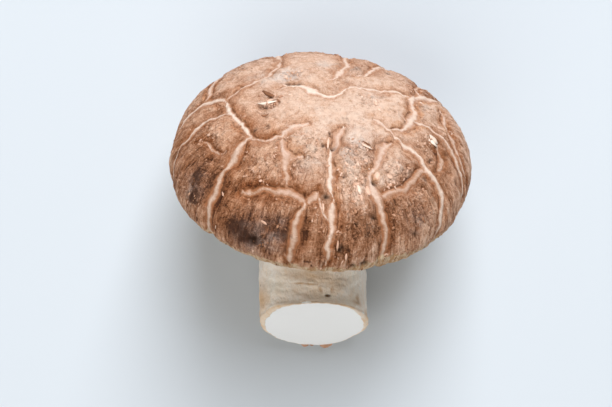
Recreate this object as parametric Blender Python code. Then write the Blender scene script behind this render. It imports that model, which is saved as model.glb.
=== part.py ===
"""Shiitake mushroom: a domed cap with an in-rolled margin, its gills and a curved stem cut off flat.

It is shaped standing upright, with the axis of the cap along Z and the stem bending towards -Y. Then it is
tipped over backwards, until the back of the margin and the outside of the stem's bend both touch the
surface, which is how a picked mushroom comes to rest. Metres, +Z up.
"""

import math

import bmesh
import bpy
from mathutils import Matrix, Vector

MM = 0.001

# Cap. Its rim plane, at height 0, is where it is widest.
CAP_RADIUS = 30.0 * MM
DOME_HEIGHT = 16.2 * MM
DOME_SHOULDER = 2.1  # over 2 makes the dome flatter on top and fuller at the shoulder
MARGIN_RADIUS = 5.2 * MM  # of the outside curve of the in-rolled margin
LIP_RADIUS = 1.7 * MM  # of its free edge, which hangs inside the curve
CHAMBER_RADIUS = 24.3 * MM
CEILING_HEIGHT = 4.4 * MM
CAP_STEPS = 72

# Unevenness of the cap, as (waves round the rim, share of the radius, direction of the first crest in degrees)
CAP_LOBES = ((2, 0.018, 79.0), (3, 0.009, 4.0), (4, 0.008, 28.0))

# Gills, drawn as one corrugated ring
GILL_COUNT = 60
GILL_STEPS = 4  # two for the edge of a gill and two for the gap beside it
GILL_DEPTH = 5.6 * MM
GILL_GAP_DEPTH = 2.2 * MM
GILL_ARCH = 0.7 * MM  # how far the edges bow down between the stem and the margin
GILL_INNER_RADIUS = 12.0 * MM

# Stem. It goes straight down from the ceiling, then bends forward to the cut.
STEM_RADIUS = 10.8 * MM
STEM_STRAIGHT = 15.0 * MM  # below the rim plane
BEND_RADIUS = 19.2 * MM
BEND_ANGLE = math.radians(65.5)
BEND_HEADING = math.radians(6.8)  # the bend's plane, turned about the axis from straight towards -Y
STEM_SWING = 1.2 * MM  # how far the cut end stands to one side of that plane
STEM_SIDES = 48
STRAIGHT_RINGS = 6
BEND_RINGS = 10
STEM_WAIST = 0.035  # the stem is this much thinner just under the gills
STEM_RIBS = ((2, 0.018, 20.0), (3, 0.012, 75.0), (5, 0.008, 0.0))  # as CAP_LOBES

CLEARANCE = 0.3 * MM  # between the solids that touch

RESTING_TURN = math.radians(-6.4)  # about the vertical, so that the stem runs straight towards -Y

COLOURS = {
    "cap": ((0.42, 0.22, 0.13), 0.62),
    "gills": ((0.82, 0.72, 0.56), 0.75),
    "stem": ((0.78, 0.68, 0.52), 0.70),
}


def clear_scene():
    for obj in list(bpy.data.objects):
        bpy.data.objects.remove(obj)


def material(name):
    colour, roughness = COLOURS[name]
    made = bpy.data.materials.new(name)
    made.use_nodes = True
    shader = made.node_tree.nodes["Principled BSDF"]
    shader.inputs["Base Color"].default_value = (*colour, 1.0)
    shader.inputs["Roughness"].default_value = roughness
    shader.inputs["Metallic"].default_value = 0.0
    made.diffuse_color = (*colour, 1.0)
    return made


def waves(direction, crests):
    """The sum of the cosine waves in crests at this direction round the axis."""
    return sum(share * math.cos(n * (direction - math.radians(first))) for n, share, first in crests)


def arc(centre, radius, start, end, steps):
    """Points (radius, height) along an arc, its angles in degrees, both ends included."""
    angles = [math.radians(start + (end - start) * i / steps) for i in range(steps + 1)]
    return [(centre[0] + radius * math.cos(a), centre[1] + radius * math.sin(a)) for a in angles]


def dome_height(radius):
    share = min(1.0, radius / CAP_RADIUS)
    return DOME_HEIGHT * math.sqrt(1.0 - share**DOME_SHOULDER)


def cap_profile():
    """From the top of the dome, over the margin and its lip, to the middle of the chamber's ceiling."""
    dome_steps = 14
    turns = [math.pi / 2 * i / dome_steps for i in range(dome_steps)]
    dome = [(CAP_RADIUS * math.sin(t), dome_height(CAP_RADIUS * math.sin(t))) for t in turns]
    margin_centre = (CAP_RADIUS - MARGIN_RADIUS, 0.0)
    margin = arc(margin_centre, MARGIN_RADIUS, 0, -90, 7)
    lip = arc((margin_centre[0], LIP_RADIUS - MARGIN_RADIUS), LIP_RADIUS, -90, -200, 6)[1:]
    wall_radius = 2.4 * MM
    wall_centre = (CHAMBER_RADIUS - wall_radius, CEILING_HEIGHT - wall_radius)
    wall = arc(wall_centre, wall_radius, -25, 90, 5)
    ceiling = [(radius * MM, CEILING_HEIGHT) for radius in (17.0, 11.5, 6.0, 0.0)]
    return dome + margin + lip + wall + ceiling


def lathe(profile, steps):
    """A bmesh of the profile turned once about Z."""
    bm = bmesh.new()
    points = [bm.verts.new((radius, 0.0, height)) for radius, height in profile]
    edges = [bm.edges.new(pair) for pair in zip(points, points[1:])]
    bmesh.ops.spin(
        bm,
        geom=points + edges,
        cent=(0, 0, 0),
        axis=(0, 0, 1),
        angle=2 * math.pi,
        steps=steps,
        use_merge=True,
    )
    bmesh.ops.remove_doubles(bm, verts=bm.verts, dist=1e-6)
    return bm


def finish(name, bm, sharp_degrees=50.0):
    """Makes the bmesh a smooth-shaded object with its own material."""
    bmesh.ops.recalc_face_normals(bm, faces=bm.faces)
    mesh = bpy.data.meshes.new(name)
    bm.to_mesh(mesh)
    bm.free()
    mesh.shade_smooth()
    mesh.set_sharp_from_angle(angle=math.radians(sharp_degrees))
    mesh.materials.append(material(name))
    obj = bpy.data.objects.new(name, mesh)
    bpy.context.scene.collection.objects.link(obj)
    return obj


def make_cap():
    """Flesh and skin in one solid, uneven round its rim as a grown cap is."""
    bm = lathe(cap_profile(), CAP_STEPS)
    for vert in bm.verts:
        direction = math.atan2(vert.co.y, vert.co.x)
        reach = (vert.co.xy.length / CAP_RADIUS) ** 4  # the lobes fade out before the chamber's wall
        swell = 1.0 + waves(direction, CAP_LOBES) * reach
        vert.co.x *= swell
        vert.co.y *= swell
    return finish("cap", bm)


def gill_edge_height(radius):
    """Height of the gills' free edges, which bow down between the stem and the margin."""
    outer = CHAMBER_RADIUS - CLEARANCE
    share = (radius - GILL_INNER_RADIUS) / (outer - GILL_INNER_RADIUS)
    return CEILING_HEIGHT - CLEARANCE - GILL_DEPTH - GILL_ARCH * math.sin(math.pi * share)


def gill_profile():
    """A closed ring section: along the ceiling outwards, and back along the gills' edges."""
    top = CEILING_HEIGHT - CLEARANCE
    outer = CHAMBER_RADIUS - CLEARANCE
    shoulder = 2.6 * MM  # the ring's outer corner keeps clear of the chamber's rounded wall
    across = [GILL_INNER_RADIUS + (outer - shoulder - GILL_INNER_RADIUS) * i / 3 for i in range(4)]
    upper = [(radius, top) for radius in across]
    side = [(outer - 0.5 * MM, top - shoulder), (outer - 1.2 * MM, gill_edge_height(outer - 1.2 * MM))]
    lower = [(radius, gill_edge_height(radius)) for radius in reversed(across[:3])]
    return upper + side + lower + [upper[0]]


def make_gills():
    """The gills as one corrugated ring, with every gap cut up between two gills."""
    steps = GILL_COUNT * GILL_STEPS
    bm = lathe(gill_profile(), steps)
    for vert in bm.verts:
        radius = vert.co.xy.length
        at_edge = vert.co.z < gill_edge_height(radius) + 0.1 * MM
        turn = math.atan2(vert.co.y, vert.co.x) / (2 * math.pi) * steps
        if at_edge and round(turn) % GILL_STEPS >= GILL_STEPS / 2:
            vert.co.z += GILL_DEPTH - GILL_GAP_DEPTH
    return finish("gills", bm, sharp_degrees=35.0)


def stem_rings():
    """The stem's rings from the ceiling to the cut, as (place, radius)."""
    top = CEILING_HEIGHT - CLEARANCE
    rings = []
    for i in range(STRAIGHT_RINGS):
        height = top - (top + STEM_STRAIGHT) * i / STRAIGHT_RINGS
        rings.append((Vector((0, 0, height)), 0.0))
    for i in range(BEND_RINGS + 1):
        tilt = BEND_ANGLE * i / BEND_RINGS
        forward = BEND_RADIUS * (1 - math.cos(tilt))
        down = STEM_STRAIGHT + BEND_RADIUS * math.sin(tilt)
        rings.append((Vector((0, -forward, -down)), -tilt))
    shaped = []
    for i, (centre, tilt) in enumerate(rings):
        share = i / (len(rings) - 1)
        centre.x += STEM_SWING * share**2
        waist = 1.0 - STEM_WAIST * math.sin(math.pi * min(1.0, 1.6 * share))
        heading = Matrix.Rotation(BEND_HEADING, 4, "Z")
        place = heading @ Matrix.Translation(centre) @ Matrix.Rotation(tilt, 4, "X")
        shaped.append((place, STEM_RADIUS * waist))
    return shaped


def make_stem():
    """A ribbed round bar that follows the bend. Both its ends are flat, and the lower one is the cut."""
    bm = bmesh.new()
    ring = bmesh.ops.create_circle(bm, segments=STEM_SIDES, radius=1.0)["verts"]
    shape = [vert.co * (1.0 + waves(math.atan2(vert.co.y, vert.co.x), STEM_RIBS)) for vert in ring]
    edges = bm.edges[:]
    for number, (place, radius) in enumerate(stem_rings()):
        if number:
            grown = bmesh.ops.extrude_edge_only(bm, edges=edges)["geom"]
            edges = [item for item in grown if isinstance(item, bmesh.types.BMEdge)]
            new = [item for item in grown if isinstance(item, bmesh.types.BMVert)]
            ring = [next(vert for vert in new if vert.co == old.co) for old in ring]
        for vert, point in zip(ring, shape):
            vert.co = place @ (point * radius)
    bmesh.ops.holes_fill(bm, edges=bm.edges, sides=0)
    return finish("stem", bm)


def lowest(obj, turn):
    return min((turn @ vert.co).z for vert in obj.data.vertices)


def resting_tilt(cap, stem):
    """The angle, tipping backwards, at which the cap and the stem both touch the surface."""
    low, high = math.radians(20.0), math.radians(80.0)
    for _ in range(40):
        middle = (low + high) / 2
        turn = Matrix.Rotation(-middle, 3, "X")
        if lowest(cap, turn) > lowest(stem, turn):
            low = middle
        else:
            high = middle
    return middle


def lay_down(parts):
    """Hangs the parts on one empty, tipped over, with the middle of their box's floor at the origin."""
    tilt = resting_tilt(parts["cap"], parts["stem"])
    turn = Matrix.Rotation(RESTING_TURN, 4, "Z") @ Matrix.Rotation(-tilt, 4, "X")
    points = [turn @ vert.co for part in parts.values() for vert in part.data.vertices]
    low = Vector(min(point[axis] for point in points) for axis in range(3))
    high = Vector(max(point[axis] for point in points) for axis in range(3))
    mushroom = bpy.data.objects.new("mushroom", None)
    bpy.context.scene.collection.objects.link(mushroom)
    mushroom.matrix_world = Matrix.Translation((-(low.x + high.x) / 2, -(low.y + high.y) / 2, -low.z)) @ turn
    for part in parts.values():
        part.parent = mushroom


def main():
    clear_scene()
    lay_down({"cap": make_cap(), "gills": make_gills(), "stem": make_stem()})


main()
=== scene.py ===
# %% [markdown]
# # A shiitake mushroom, lying on its side
#
# The mushroom is three organs: a domed cap whose skin has split into plates, a ring of thin gills under it,
# and a stout curved stem that was cut off flat. The CAD model gives their size and their place. Here each
# one is modelled again with the surface that a grown thing has, and is wrapped on exactly the same shape.

import math
import random

import bmesh
import bpy
import numpy as np
from mathutils import Matrix, Vector, noise
from mathutils.kdtree import KDTree


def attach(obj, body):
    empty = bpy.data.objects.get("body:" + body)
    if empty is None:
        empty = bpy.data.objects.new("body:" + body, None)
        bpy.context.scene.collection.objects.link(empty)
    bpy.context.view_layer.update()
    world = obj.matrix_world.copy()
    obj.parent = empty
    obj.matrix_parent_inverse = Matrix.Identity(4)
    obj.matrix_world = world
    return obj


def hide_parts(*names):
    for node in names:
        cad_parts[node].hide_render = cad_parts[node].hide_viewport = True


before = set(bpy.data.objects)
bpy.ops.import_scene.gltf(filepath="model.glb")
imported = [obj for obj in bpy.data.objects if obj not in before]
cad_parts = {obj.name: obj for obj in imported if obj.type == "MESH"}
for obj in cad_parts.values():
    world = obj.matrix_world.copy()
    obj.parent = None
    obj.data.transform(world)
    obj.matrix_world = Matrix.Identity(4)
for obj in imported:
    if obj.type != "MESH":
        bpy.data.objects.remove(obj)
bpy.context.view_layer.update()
MM = 0.001

# %% [markdown]
# ## Camera, floor and light
#
# The mushroom lies on a pale table and is seen from straight above. Small lamps would draw hard shadows, so
# the light comes from two large soft panels. The stronger one stands behind the cap, a little to its right:
# the cap's back is bright, its front is in half shade, and a broad soft shadow falls past the stem. The
# weaker one stands in front, and the sky fills what is left of the shadow evenly.

# %% Camera
LENS = 100.0
CAMERA_TARGET = Vector((-3.0, -1.1, 25.0)) * MM
CAMERA_DISTANCE = 331.0 * MM
CAMERA_ELEVATION = math.radians(88.9)


def aim(obj, target):
    """Turns a camera or a light to face the target, keeping its top towards +Y."""
    obj.rotation_euler = (target - obj.location).to_track_quat("-Z", "Y").to_euler()


camera = bpy.data.objects.new("camera", bpy.data.cameras.new("camera"))
bpy.context.scene.collection.objects.link(camera)
camera.data.lens = LENS
camera.data.clip_start = 0.01
towards_camera = Vector((0.0, -math.cos(CAMERA_ELEVATION), math.sin(CAMERA_ELEVATION)))
camera.location = CAMERA_TARGET + towards_camera * CAMERA_DISTANCE
aim(camera, CAMERA_TARGET)
bpy.context.scene.camera = camera
bpy.context.scene.view_settings.view_transform = "Standard"
print("camera at", tuple(round(value, 3) for value in camera.location))

# %% Sky and lights
SKY_COLOUR = (1.0, 0.98, 0.94, 1.0)
SKY_STRENGTH = 0.23
LIGHT_DISTANCE = 1.7
MIDDLE_OF_CAP = Vector((0.0, 0.0, 0.02))


def soft_light(name, azimuth, elevation, size, watts, colour):
    """A rectangular light that faces the mushroom. Azimuth 0 is behind the cap, 90 to its right."""
    light = bpy.data.objects.new(name, bpy.data.lights.new(name, "AREA"))
    bpy.context.scene.collection.objects.link(light)
    light.data.shape = "RECTANGLE"
    light.data.size, light.data.size_y = size
    light.data.energy = watts
    light.data.color = colour
    turn, rise = math.radians(azimuth), math.radians(elevation)
    towards = Vector((math.sin(turn) * math.cos(rise), math.cos(turn) * math.cos(rise), math.sin(rise)))
    light.location = MIDDLE_OF_CAP + towards * LIGHT_DISTANCE
    aim(light, MIDDLE_OF_CAP)
    return light


sky = bpy.data.worlds.new("sky")
sky.use_nodes = True
sky.node_tree.nodes["Background"].inputs["Color"].default_value = SKY_COLOUR
sky.node_tree.nodes["Background"].inputs["Strength"].default_value = SKY_STRENGTH
bpy.context.scene.world = sky
for light in (
    soft_light("window", 10, 47, (0.95, 1.5), 41.0, (0.96, 1.0, 1.06)),
    soft_light("room", 203, 43, (1.7, 1.7), 15.6, (1.0, 0.98, 0.95)),
):
    print(f"{light.name}: {light.data.energy:.1f} W, {light.data.size:.2f} x {light.data.size_y:.2f} m")

# %% Floor
FLOOR_COLOUR = (0.585, 0.622, 0.653, 1.0)
FLOOR_HALF = 1.5  # metres


def mesh_from(bm, name):
    """Makes a mesh of what was modelled in bm, and frees bm."""
    mesh = bpy.data.meshes.new(name)
    bm.to_mesh(mesh)
    bm.free()
    return mesh


def new_material(name, roughness_value, specular=0.5):
    """A material with its node tree and its shader."""
    made = bpy.data.materials.new(name)
    made.use_nodes = True
    shader = made.node_tree.nodes["Principled BSDF"]
    shader.inputs["Roughness"].default_value = roughness_value
    shader.inputs["Specular IOR Level"].default_value = specular
    return made, made.node_tree, shader


bm = bmesh.new()
bmesh.ops.create_grid(bm, x_segments=1, y_segments=1, size=FLOOR_HALF)
floor = bpy.data.objects.new("floor", mesh_from(bm, "floor"))
bpy.context.scene.collection.objects.link(floor)
floor_material, tree, shader = new_material("floor", 0.7)
shader.inputs["Base Color"].default_value = FLOOR_COLOUR
floor.data.materials.append(floor_material)
print(f"floor of {2 * FLOOR_HALF:.0f} x {2 * FLOOR_HALF:.0f} m")

# %% [markdown]
# ## The cap's own axes
#
# It is easier to shape the cap upright, in millimetres, with the dome along Z, and to lay it down
# afterwards. The CAD gills are a perfect ring round the cap's axis, so they tell where that axis is: their
# middle lies on it, and the direction in which the ring is thinnest runs along it.

# %% Measure the cap's axes on the CAD gills
GILLS_TOP = 4.1  # mm above the rim plane, as the CAD ring has it


def read_points(mesh):
    points = np.empty(3 * len(mesh.vertices))
    mesh.vertices.foreach_get("co", points)
    return points.reshape(-1, 3)


ring = np.unique(read_points(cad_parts["gills"].data).round(7), axis=0)
ring_middle = ring.mean(axis=0)
up_axis = np.linalg.svd(ring - ring_middle, full_matrices=False)[2][2]
up_axis *= np.sign(up_axis[2])
front = np.array([0.0, 0.0, 1.0]) - up_axis[2] * up_axis
front /= np.linalg.norm(front)
back = -front
CAP_AXES = np.array([np.cross(back, up_axis), back, up_axis])  # rows: side, back and up
above_middle = ((ring - ring_middle) @ up_axis).max()
RIM_CENTRE = ring_middle + up_axis * (above_middle - GILLS_TOP * MM)


def lay_down(points):
    """Upright millimetres to the frame's metres."""
    return points @ CAP_AXES * MM + RIM_CENTRE


print("cap axis", up_axis.round(3), "rim centre in mm", (RIM_CENTRE / MM).round(2))

# %% [markdown]
# ## The shape of the cap as a section
#
# Turned once round its axis, one line makes the whole cap: over the dome, round the in-rolled margin, over
# the lip, up the wall of the gill chamber and along its ceiling. Its sizes are the CAD model's. The line is
# kept as a table against the distance walked along it from the apex, which makes every later step simple:
# the skin is drawn flat, like a round pancake, and then wrapped over the section.

# %% The section of the cap
CAP_RADIUS = 30.0
DOME_HEIGHT = 16.2
DOME_SHOULDER = 2.1
MARGIN_RADIUS = 5.2
LIP_RADIUS = 1.7
CEILING = 4.4

CHAMBER_CORNER = (21.9, 2.0)  # middle of the round where the chamber's wall meets its ceiling
CHAMBER_ROUND = 2.4
CAP_LOBES = ((2, 0.018, 79.0), (3, 0.009, 4.0), (4, 0.008, 28.0))  # how many, how strong, first at
ARC_POINTS = 60


def smooth(values, low, high):
    """0 below low, 1 above high, and an S-curve between."""
    share = np.clip((values - low) / (high - low), 0.0, 1.0)
    return share * share * (3.0 - 2.0 * share)


def arc(centre, radius, start, end):
    """Points of an arc between two angles in degrees."""
    angles = np.radians(np.linspace(start, end, ARC_POINTS))
    return np.column_stack([centre[0] + radius * np.cos(angles), centre[1] + radius * np.sin(angles)])


turn = np.linspace(0.0, math.pi / 2, 300)
dome_radius = CAP_RADIUS * np.sin(turn)
dome_height = DOME_HEIGHT * np.sqrt(1.0 - np.clip(dome_radius / CAP_RADIUS, 0, 1) ** DOME_SHOULDER)
margin_centre = CAP_RADIUS - MARGIN_RADIUS
SECTION = np.vstack([
    np.column_stack([dome_radius, dome_height]),
    arc((margin_centre, 0.0), MARGIN_RADIUS, -2, -90),
    arc((margin_centre, LIP_RADIUS - MARGIN_RADIUS), LIP_RADIUS, -93, -200),
    arc(CHAMBER_CORNER, CHAMBER_ROUND, -25, 90),
    [(10.0, CEILING), (0.0, CEILING)],
])
WALKED = np.concatenate([[0.0], np.cumsum(np.hypot(*np.diff(SECTION, axis=0).T))])
RIM_AT = WALKED[len(turn) - 1]
MARGIN_END = WALKED[len(turn) + ARC_POINTS - 1]
LIP_END = WALKED[len(turn) + 2 * ARC_POINTS - 1]
print(f"from the apex: rim {RIM_AT:.1f}, margin's underside {MARGIN_END:.1f}, lip {LIP_END:.1f} mm")

# %% Wrap flat skin over the section
SLOPE_STEP = 0.15  # mm walked to each side to find the section's slope


def section_at(walked):
    """The section's radius and height at these distances from the apex."""
    return np.interp(walked, WALKED, SECTION[:, 0]), np.interp(walked, WALKED, SECTION[:, 1])


def wrap(flat, relief):
    """Flat skin points to upright ones on the cap, lifted off it by relief."""
    walked = np.hypot(flat[:, 0], flat[:, 1])
    direction = np.arctan2(flat[:, 1], flat[:, 0])
    radius, height = section_at(walked)
    ahead, behind = section_at(walked + SLOPE_STEP), section_at(walked - SLOPE_STEP)
    run, rise = ahead[0] - behind[0], ahead[1] - behind[1]
    length = np.hypot(run, rise) + 1e-9
    swell = sum(share * np.cos(n * (direction - math.radians(first))) for n, share, first in CAP_LOBES)
    across = radius * (1.0 + swell * (radius / CAP_RADIUS) ** 4) - relief * rise / length
    up = height + relief * run / length
    return np.column_stack([across * np.cos(direction), across * np.sin(direction), up])


print("the apex is wrapped to", wrap(np.zeros((1, 2)), np.zeros(1))[0].round(2))

# %% [markdown]
# ## The cap's skin as a fine mesh
#
# The skin is one closed sheet that runs over the cap and in under the lip. A turned mesh would crowd its
# points at the apex, where the skin should be smooth. So the pancake has a square patch in the middle and
# rings around it, which keeps all its faces about a third of a millimetre across. Both are plain grids from
# create_grid, moved to their places and merged where they meet.

# %% A helper for grids
def grid_steps(bm, columns, rows):
    """Adds a grid and gives each of its vertices with its column and its row."""
    made = bmesh.ops.create_grid(bm, x_segments=columns, y_segments=rows, size=1.0)["verts"]
    return [(v, round((v.co.x + 1) / 2 * columns), round((v.co.y + 1) / 2 * rows)) for v in made]


# %% Places on the flat skin
PATCH_STEPS = 140
PATCH_HALF = 11.0
FIRST_RING = PATCH_HALF * 1.11  # radius of the circle that the patch's edge stands for
RING_SPACING = 0.34
CHAMBER_SPACING = 0.9
AROUND = 4 * PATCH_STEPS
CENTRE_BLEND = 30  # rings over which the square turns round


def rounded_square(x, y):
    """A square's point, -1 to 1, moved so that its sides bow out."""
    return PATCH_HALF * x * math.sqrt(1 - y * y / 4), PATCH_HALF * y * math.sqrt(1 - x * x / 4)


def patch_edge(number):
    """The point at this step round the patch's edge, anticlockwise from its lower right corner."""
    side, step = divmod(number % AROUND, PATCH_STEPS)
    along = 2 * step / PATCH_STEPS - 1
    corner = ((1, along), (-along, 1), (-1, -along), (along, -1))[side]
    return Vector(rounded_square(*corner))


outer_rings = np.arange(FIRST_RING, LIP_END, RING_SPACING)
wall_rings = np.arange(LIP_END, LIP_END + 10.0, CHAMBER_SPACING)
rings = np.concatenate([outer_rings, wall_rings, [WALKED[-1] - 11.0, WALKED[-1]]])
print(f"{len(rings)} rings of {AROUND} points round a patch of {PATCH_STEPS} x {PATCH_STEPS} faces")

# %% Draw the skin flat
bm = bmesh.new()
for vert, column, row in grid_steps(bm, PATCH_STEPS, PATCH_STEPS):
    vert.co.xy = rounded_square(2 * column / PATCH_STEPS - 1, 2 * row / PATCH_STEPS - 1)
last_ring = []
for vert, column, row in grid_steps(bm, AROUND, len(rings) - 1):
    angle = math.radians(-45) + 2 * math.pi * column / AROUND
    share = min(1.0, row / CENTRE_BLEND)
    square = patch_edge(column) * (rings[row] / FIRST_RING)
    circle = Vector((math.cos(angle), math.sin(angle))) * rings[row]
    vert.co.xy = square.lerp(circle, share * share * (3 - 2 * share))
    if row == len(rings) - 1:
        last_ring.append(vert)
bmesh.ops.pointmerge(bm, verts=last_ring, merge_co=(rings[-1], 0, 0))
bmesh.ops.remove_doubles(bm, verts=bm.verts, dist=1e-3)
cap_mesh = mesh_from(bm, "cap_skin")
flat = read_points(cap_mesh)[:, :2]
walked = np.hypot(flat[:, 0], flat[:, 1])
direction = np.arctan2(flat[:, 1], flat[:, 0])
on_cap = wrap(flat, np.zeros(len(flat)))
print(f"{len(flat)} points")

# %% [markdown]
# ## Where the skin has split
#
# A shiitake that grows in dry, cold air makes more flesh than its skin can cover, so the skin tears into
# plates, and smooth pale flesh shows between them. The splits can't be left to chance if this is to be one
# particular mushroom, so each has a route drawn on the flat skin, in millimetres from the apex, with the
# stem's cut end towards -Y. The routes on the side away from the stem are in the same style.

# %% The splits
# name: (width, whiteness, rusty side, route); the rusty side is 1 on the left-hand side
# along the route, -1 on its right-hand side and 0 for none
SPLITS = {
    "left_upper": (2, 0.55, -1, [(-37, -4), (-32, 1), (-29.4, 2), (-25.3, 2.8), (-21.6, 1.5), (-19.6, 0)]),
    "left_lower": (1.6, 0.5, -1, [
        (-37, -14), (-30.8, -8), (-27.8, -7), (-26.1, -5.4), (-23.7, -4.8), (-19.2, -4),
    ]),
    "left_diagonal": (1.5, 0.85, -1, [
        (-19.6, 0.6), (-19.7, -1.6), (-19.2, -3.6), (-17.6, -6.3), (-14.7, -10.1), (-13.6, -12.1),
    ]),
    "left_middle": (1.3, 0.35, 1, [
        (-13.6, -12.1), (-11.8, -12.7), (-10.7, -12.9), (-8.7, -12), (-7, -10.8), (-4.6, -9.3),
        (-3, -8.3),
    ]),
    "left_down": (2.3, 0.42, 1, [
        (-13.6, -12.1), (-15.3, -13.1), (-16.1, -14.9), (-16.9, -16.8), (-18.3, -18.6), (-20.1, -22),
        (-21.5, -24.3), (-22.6, -26.1), (-23.9, -28), (-25.5, -32),
    ]),
    "left_curl": (0.9, 0.3, 0, [
        (-24.6, -9.8), (-23.2, -11.2), (-22.6, -12.3), (-21.8, -13.5), (-20.4, -14.6), (-19.2, -15),
        (-18.2, -14.3),
    ]),
    "short_upright": (1.8, 0.2, 0, [
        (-7.9, -12.4), (-7.2, -15.2), (-6.6, -17.8), (-6.3, -20.3), (-6.1, -23),
    ]),
    "short_branch": (1.1, 0.1, 0, [(-6.5, -17.6), (-5, -16.7), (-3.4, -16.8)]),
    "low_band": (1.8, 0.15, -1, [
        (-14.8, -23.6), (-11.2, -24), (-8.1, -24.1), (-5.3, -24.2), (-3.1, -25.6), (-2.2, -26.5),
    ]),
    "low_up": (1.2, 0.2, 0, [(-2.2, -26.5), (-0.9, -25.4), (0.4, -24.1)]),
    "low_down": (2.2, 0.38, 0, [
        (-2.2, -26.5), (-2.7, -27.8), (-3.3, -29.2), (-3.9, -31), (-4.1, -33.5), (-4.3, -36), (-4.5, -39),
    ]),
    "centre_top": (1.6, 0.15, 0, [(4, -8.8), (2.9, -10.2), (2.7, -12.5), (2.2, -14.5), (1.7, -16)]),
    "centre": (1.3, 0.9, 1, [
        (1.3, -14.4), (1.6, -15.9), (1.5, -18), (2.3, -20.3), (2.7, -22.5), (3, -24.9),
    ]),
    "centre_low": (1.9, 0.5, 1, [
        (3, -24.9), (3.1, -27.9), (3.7, -30), (3.5, -31.8), (3.7, -34), (4, -38),
    ]),
    "centre_side": (0.9, 0.4, 0, [(0.3, -24.2), (0.6, -25.7), (1.7, -27.6), (2.6, -28.8), (3.4, -29.8)]),
    "right_start": (1.4, 0.4, 0, [(9.4, -4.6), (11, -5.6), (12.4, -6.7), (13.8, -7.8)]),
    "right_main": (2.2, 0.65, -1, [
        (13.8, -7.8), (16.7, -9.1), (18.5, -9.8), (20, -10.9), (21.5, -12.1), (23.5, -13.4),
        (25.3, -14.7), (26.9, -16), (27.9, -18), (28.8, -20), (31, -24),
    ]),
    "right_up": (1.7, 0.5, -1, [
        (12.4, -6.7), (14.6, -5), (16, -3.9), (17.2, -1.3), (17.6, 1.3), (16.6, 2.9), (17, 6.7),
        (18.6, 9.3), (22, 13), (26, 16),
    ]),
    "right_far": (1.8, 0.5, -1, [
        (17.2, -1.3), (19.5, -0.2), (21.2, -0.3), (23.9, -1.5), (27.1, -3.2), (30.7, -5.9), (34, -9.5),
        (38, -12),
    ]),
    "right_short": (1.6, 0.2, 0, [(23.2, -4.2), (24.4, -6.4), (24.9, -8.8), (24, -11.2)]),
    "right_outer": (1.5, 0.3, 1, [(23.6, 9), (24.6, 5.5), (26, 1), (28.6, -2), (31, -4.2), (35, -5.5)]),
    "right_inner": (2.4, 0.2, 0, [(13, -9.6), (11.6, -11.2), (11.1, -13.3), (11.1, -15.6), (10.2, -17.3)]),
    "right_inner_low": (2.1, 0.35, 1, [
        (10.2, -17.3), (9.4, -18.8), (9.9, -20.6), (11, -21.9), (12.3, -23.3), (13.2, -25.1), (14, -27),
        (15.2, -28.8), (15.9, -30.8), (16.8, -34), (17, -38),
    ]),
    "right_bridge": (1.9, 0.15, -1, [
        (21.2, -12.4), (20, -13.9), (18.9, -16.1), (17.6, -18.5), (15.8, -20.1), (14.2, -21), (12, -22.9),
    ]),
    "behind": (1.6, 0.95, 1, [
        (-9, 2), (-7.1, 2.8), (-5.3, 2.9), (-3.9, 2.2), (-3, 0.6), (-1.2, -0.3), (0.3, -0.3), (1.9, 1),
        (2.5, 2.4), (3.4, 3.2),
    ]),
    "behind_right": (1, 0.6, 0, [(3.4, 3.2), (5.9, 4.5), (8.8, 5.5), (11.3, 6.3), (13.8, 7.2), (17, 6.7)]),
    "behind_left": (1.3, 0.35, 0, [
        (-19.6, 0.6), (-17, 3), (-14.5, 5.5), (-12, 8), (-10.5, 11), (-10.4, 15),
    ]),
    "back_left": (1.8, 0.5, 0, [(-10.4, 15), (-11.5, 20), (-11, 25), (-12.5, 30), (-13, 38)]),
    "back_middle": (1.7, 0.45, 0, [
        (-0.6, 4.9), (0.7, 6.6), (2.4, 10.7), (3.4, 15), (2.6, 21), (3.6, 27), (3, 32), (4, 38),
    ]),
    "back_right": (1.5, 0.45, 0, [(5.5, 9), (7.7, 12), (9, 17), (12.5, 22), (14, 28), (17, 34)]),
    "back_cross_left": (1.6, 0.3, 1, [(-11, 25), (-6, 26.5), (-1.5, 25), (2.6, 21)]),
    "back_cross_right": (1.5, 0.3, -1, [(3.6, 27), (8, 27.5), (14, 28)]),
    "back_far_left": (1.9, 0.3, 1, [(-25.3, 2.8), (-24.5, 8), (-25.5, 13), (-24, 18), (-27, 24)]),
    "back_far_cross": (1.3, 0.2, 0, [(-24, 18), (-18, 19.5), (-11.5, 20)]),
    "back_far_right": (1.2, 0.3, -1, [(18.6, 9.3), (17.5, 14), (20, 19), (19, 24), (23, 31)]),
}
print(f"{len(SPLITS)} splits, the widest {max(width for width, *_ in SPLITS.values())} mm")

# %% Helpers that measure along a route
def rounded_route(points, passes=3):
    """Cuts a route's corners again and again, which turns it into a smooth curve."""
    points = np.array(points, dtype=float)
    for _ in range(passes):
        ahead = points[1:] - points[:-1]
        cut = np.stack([points[:-1] + ahead * 0.25, points[:-1] + ahead * 0.75], axis=1).reshape(-1, 2)
        points = np.vstack([points[:1], cut, points[-1:]])
    return points


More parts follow.
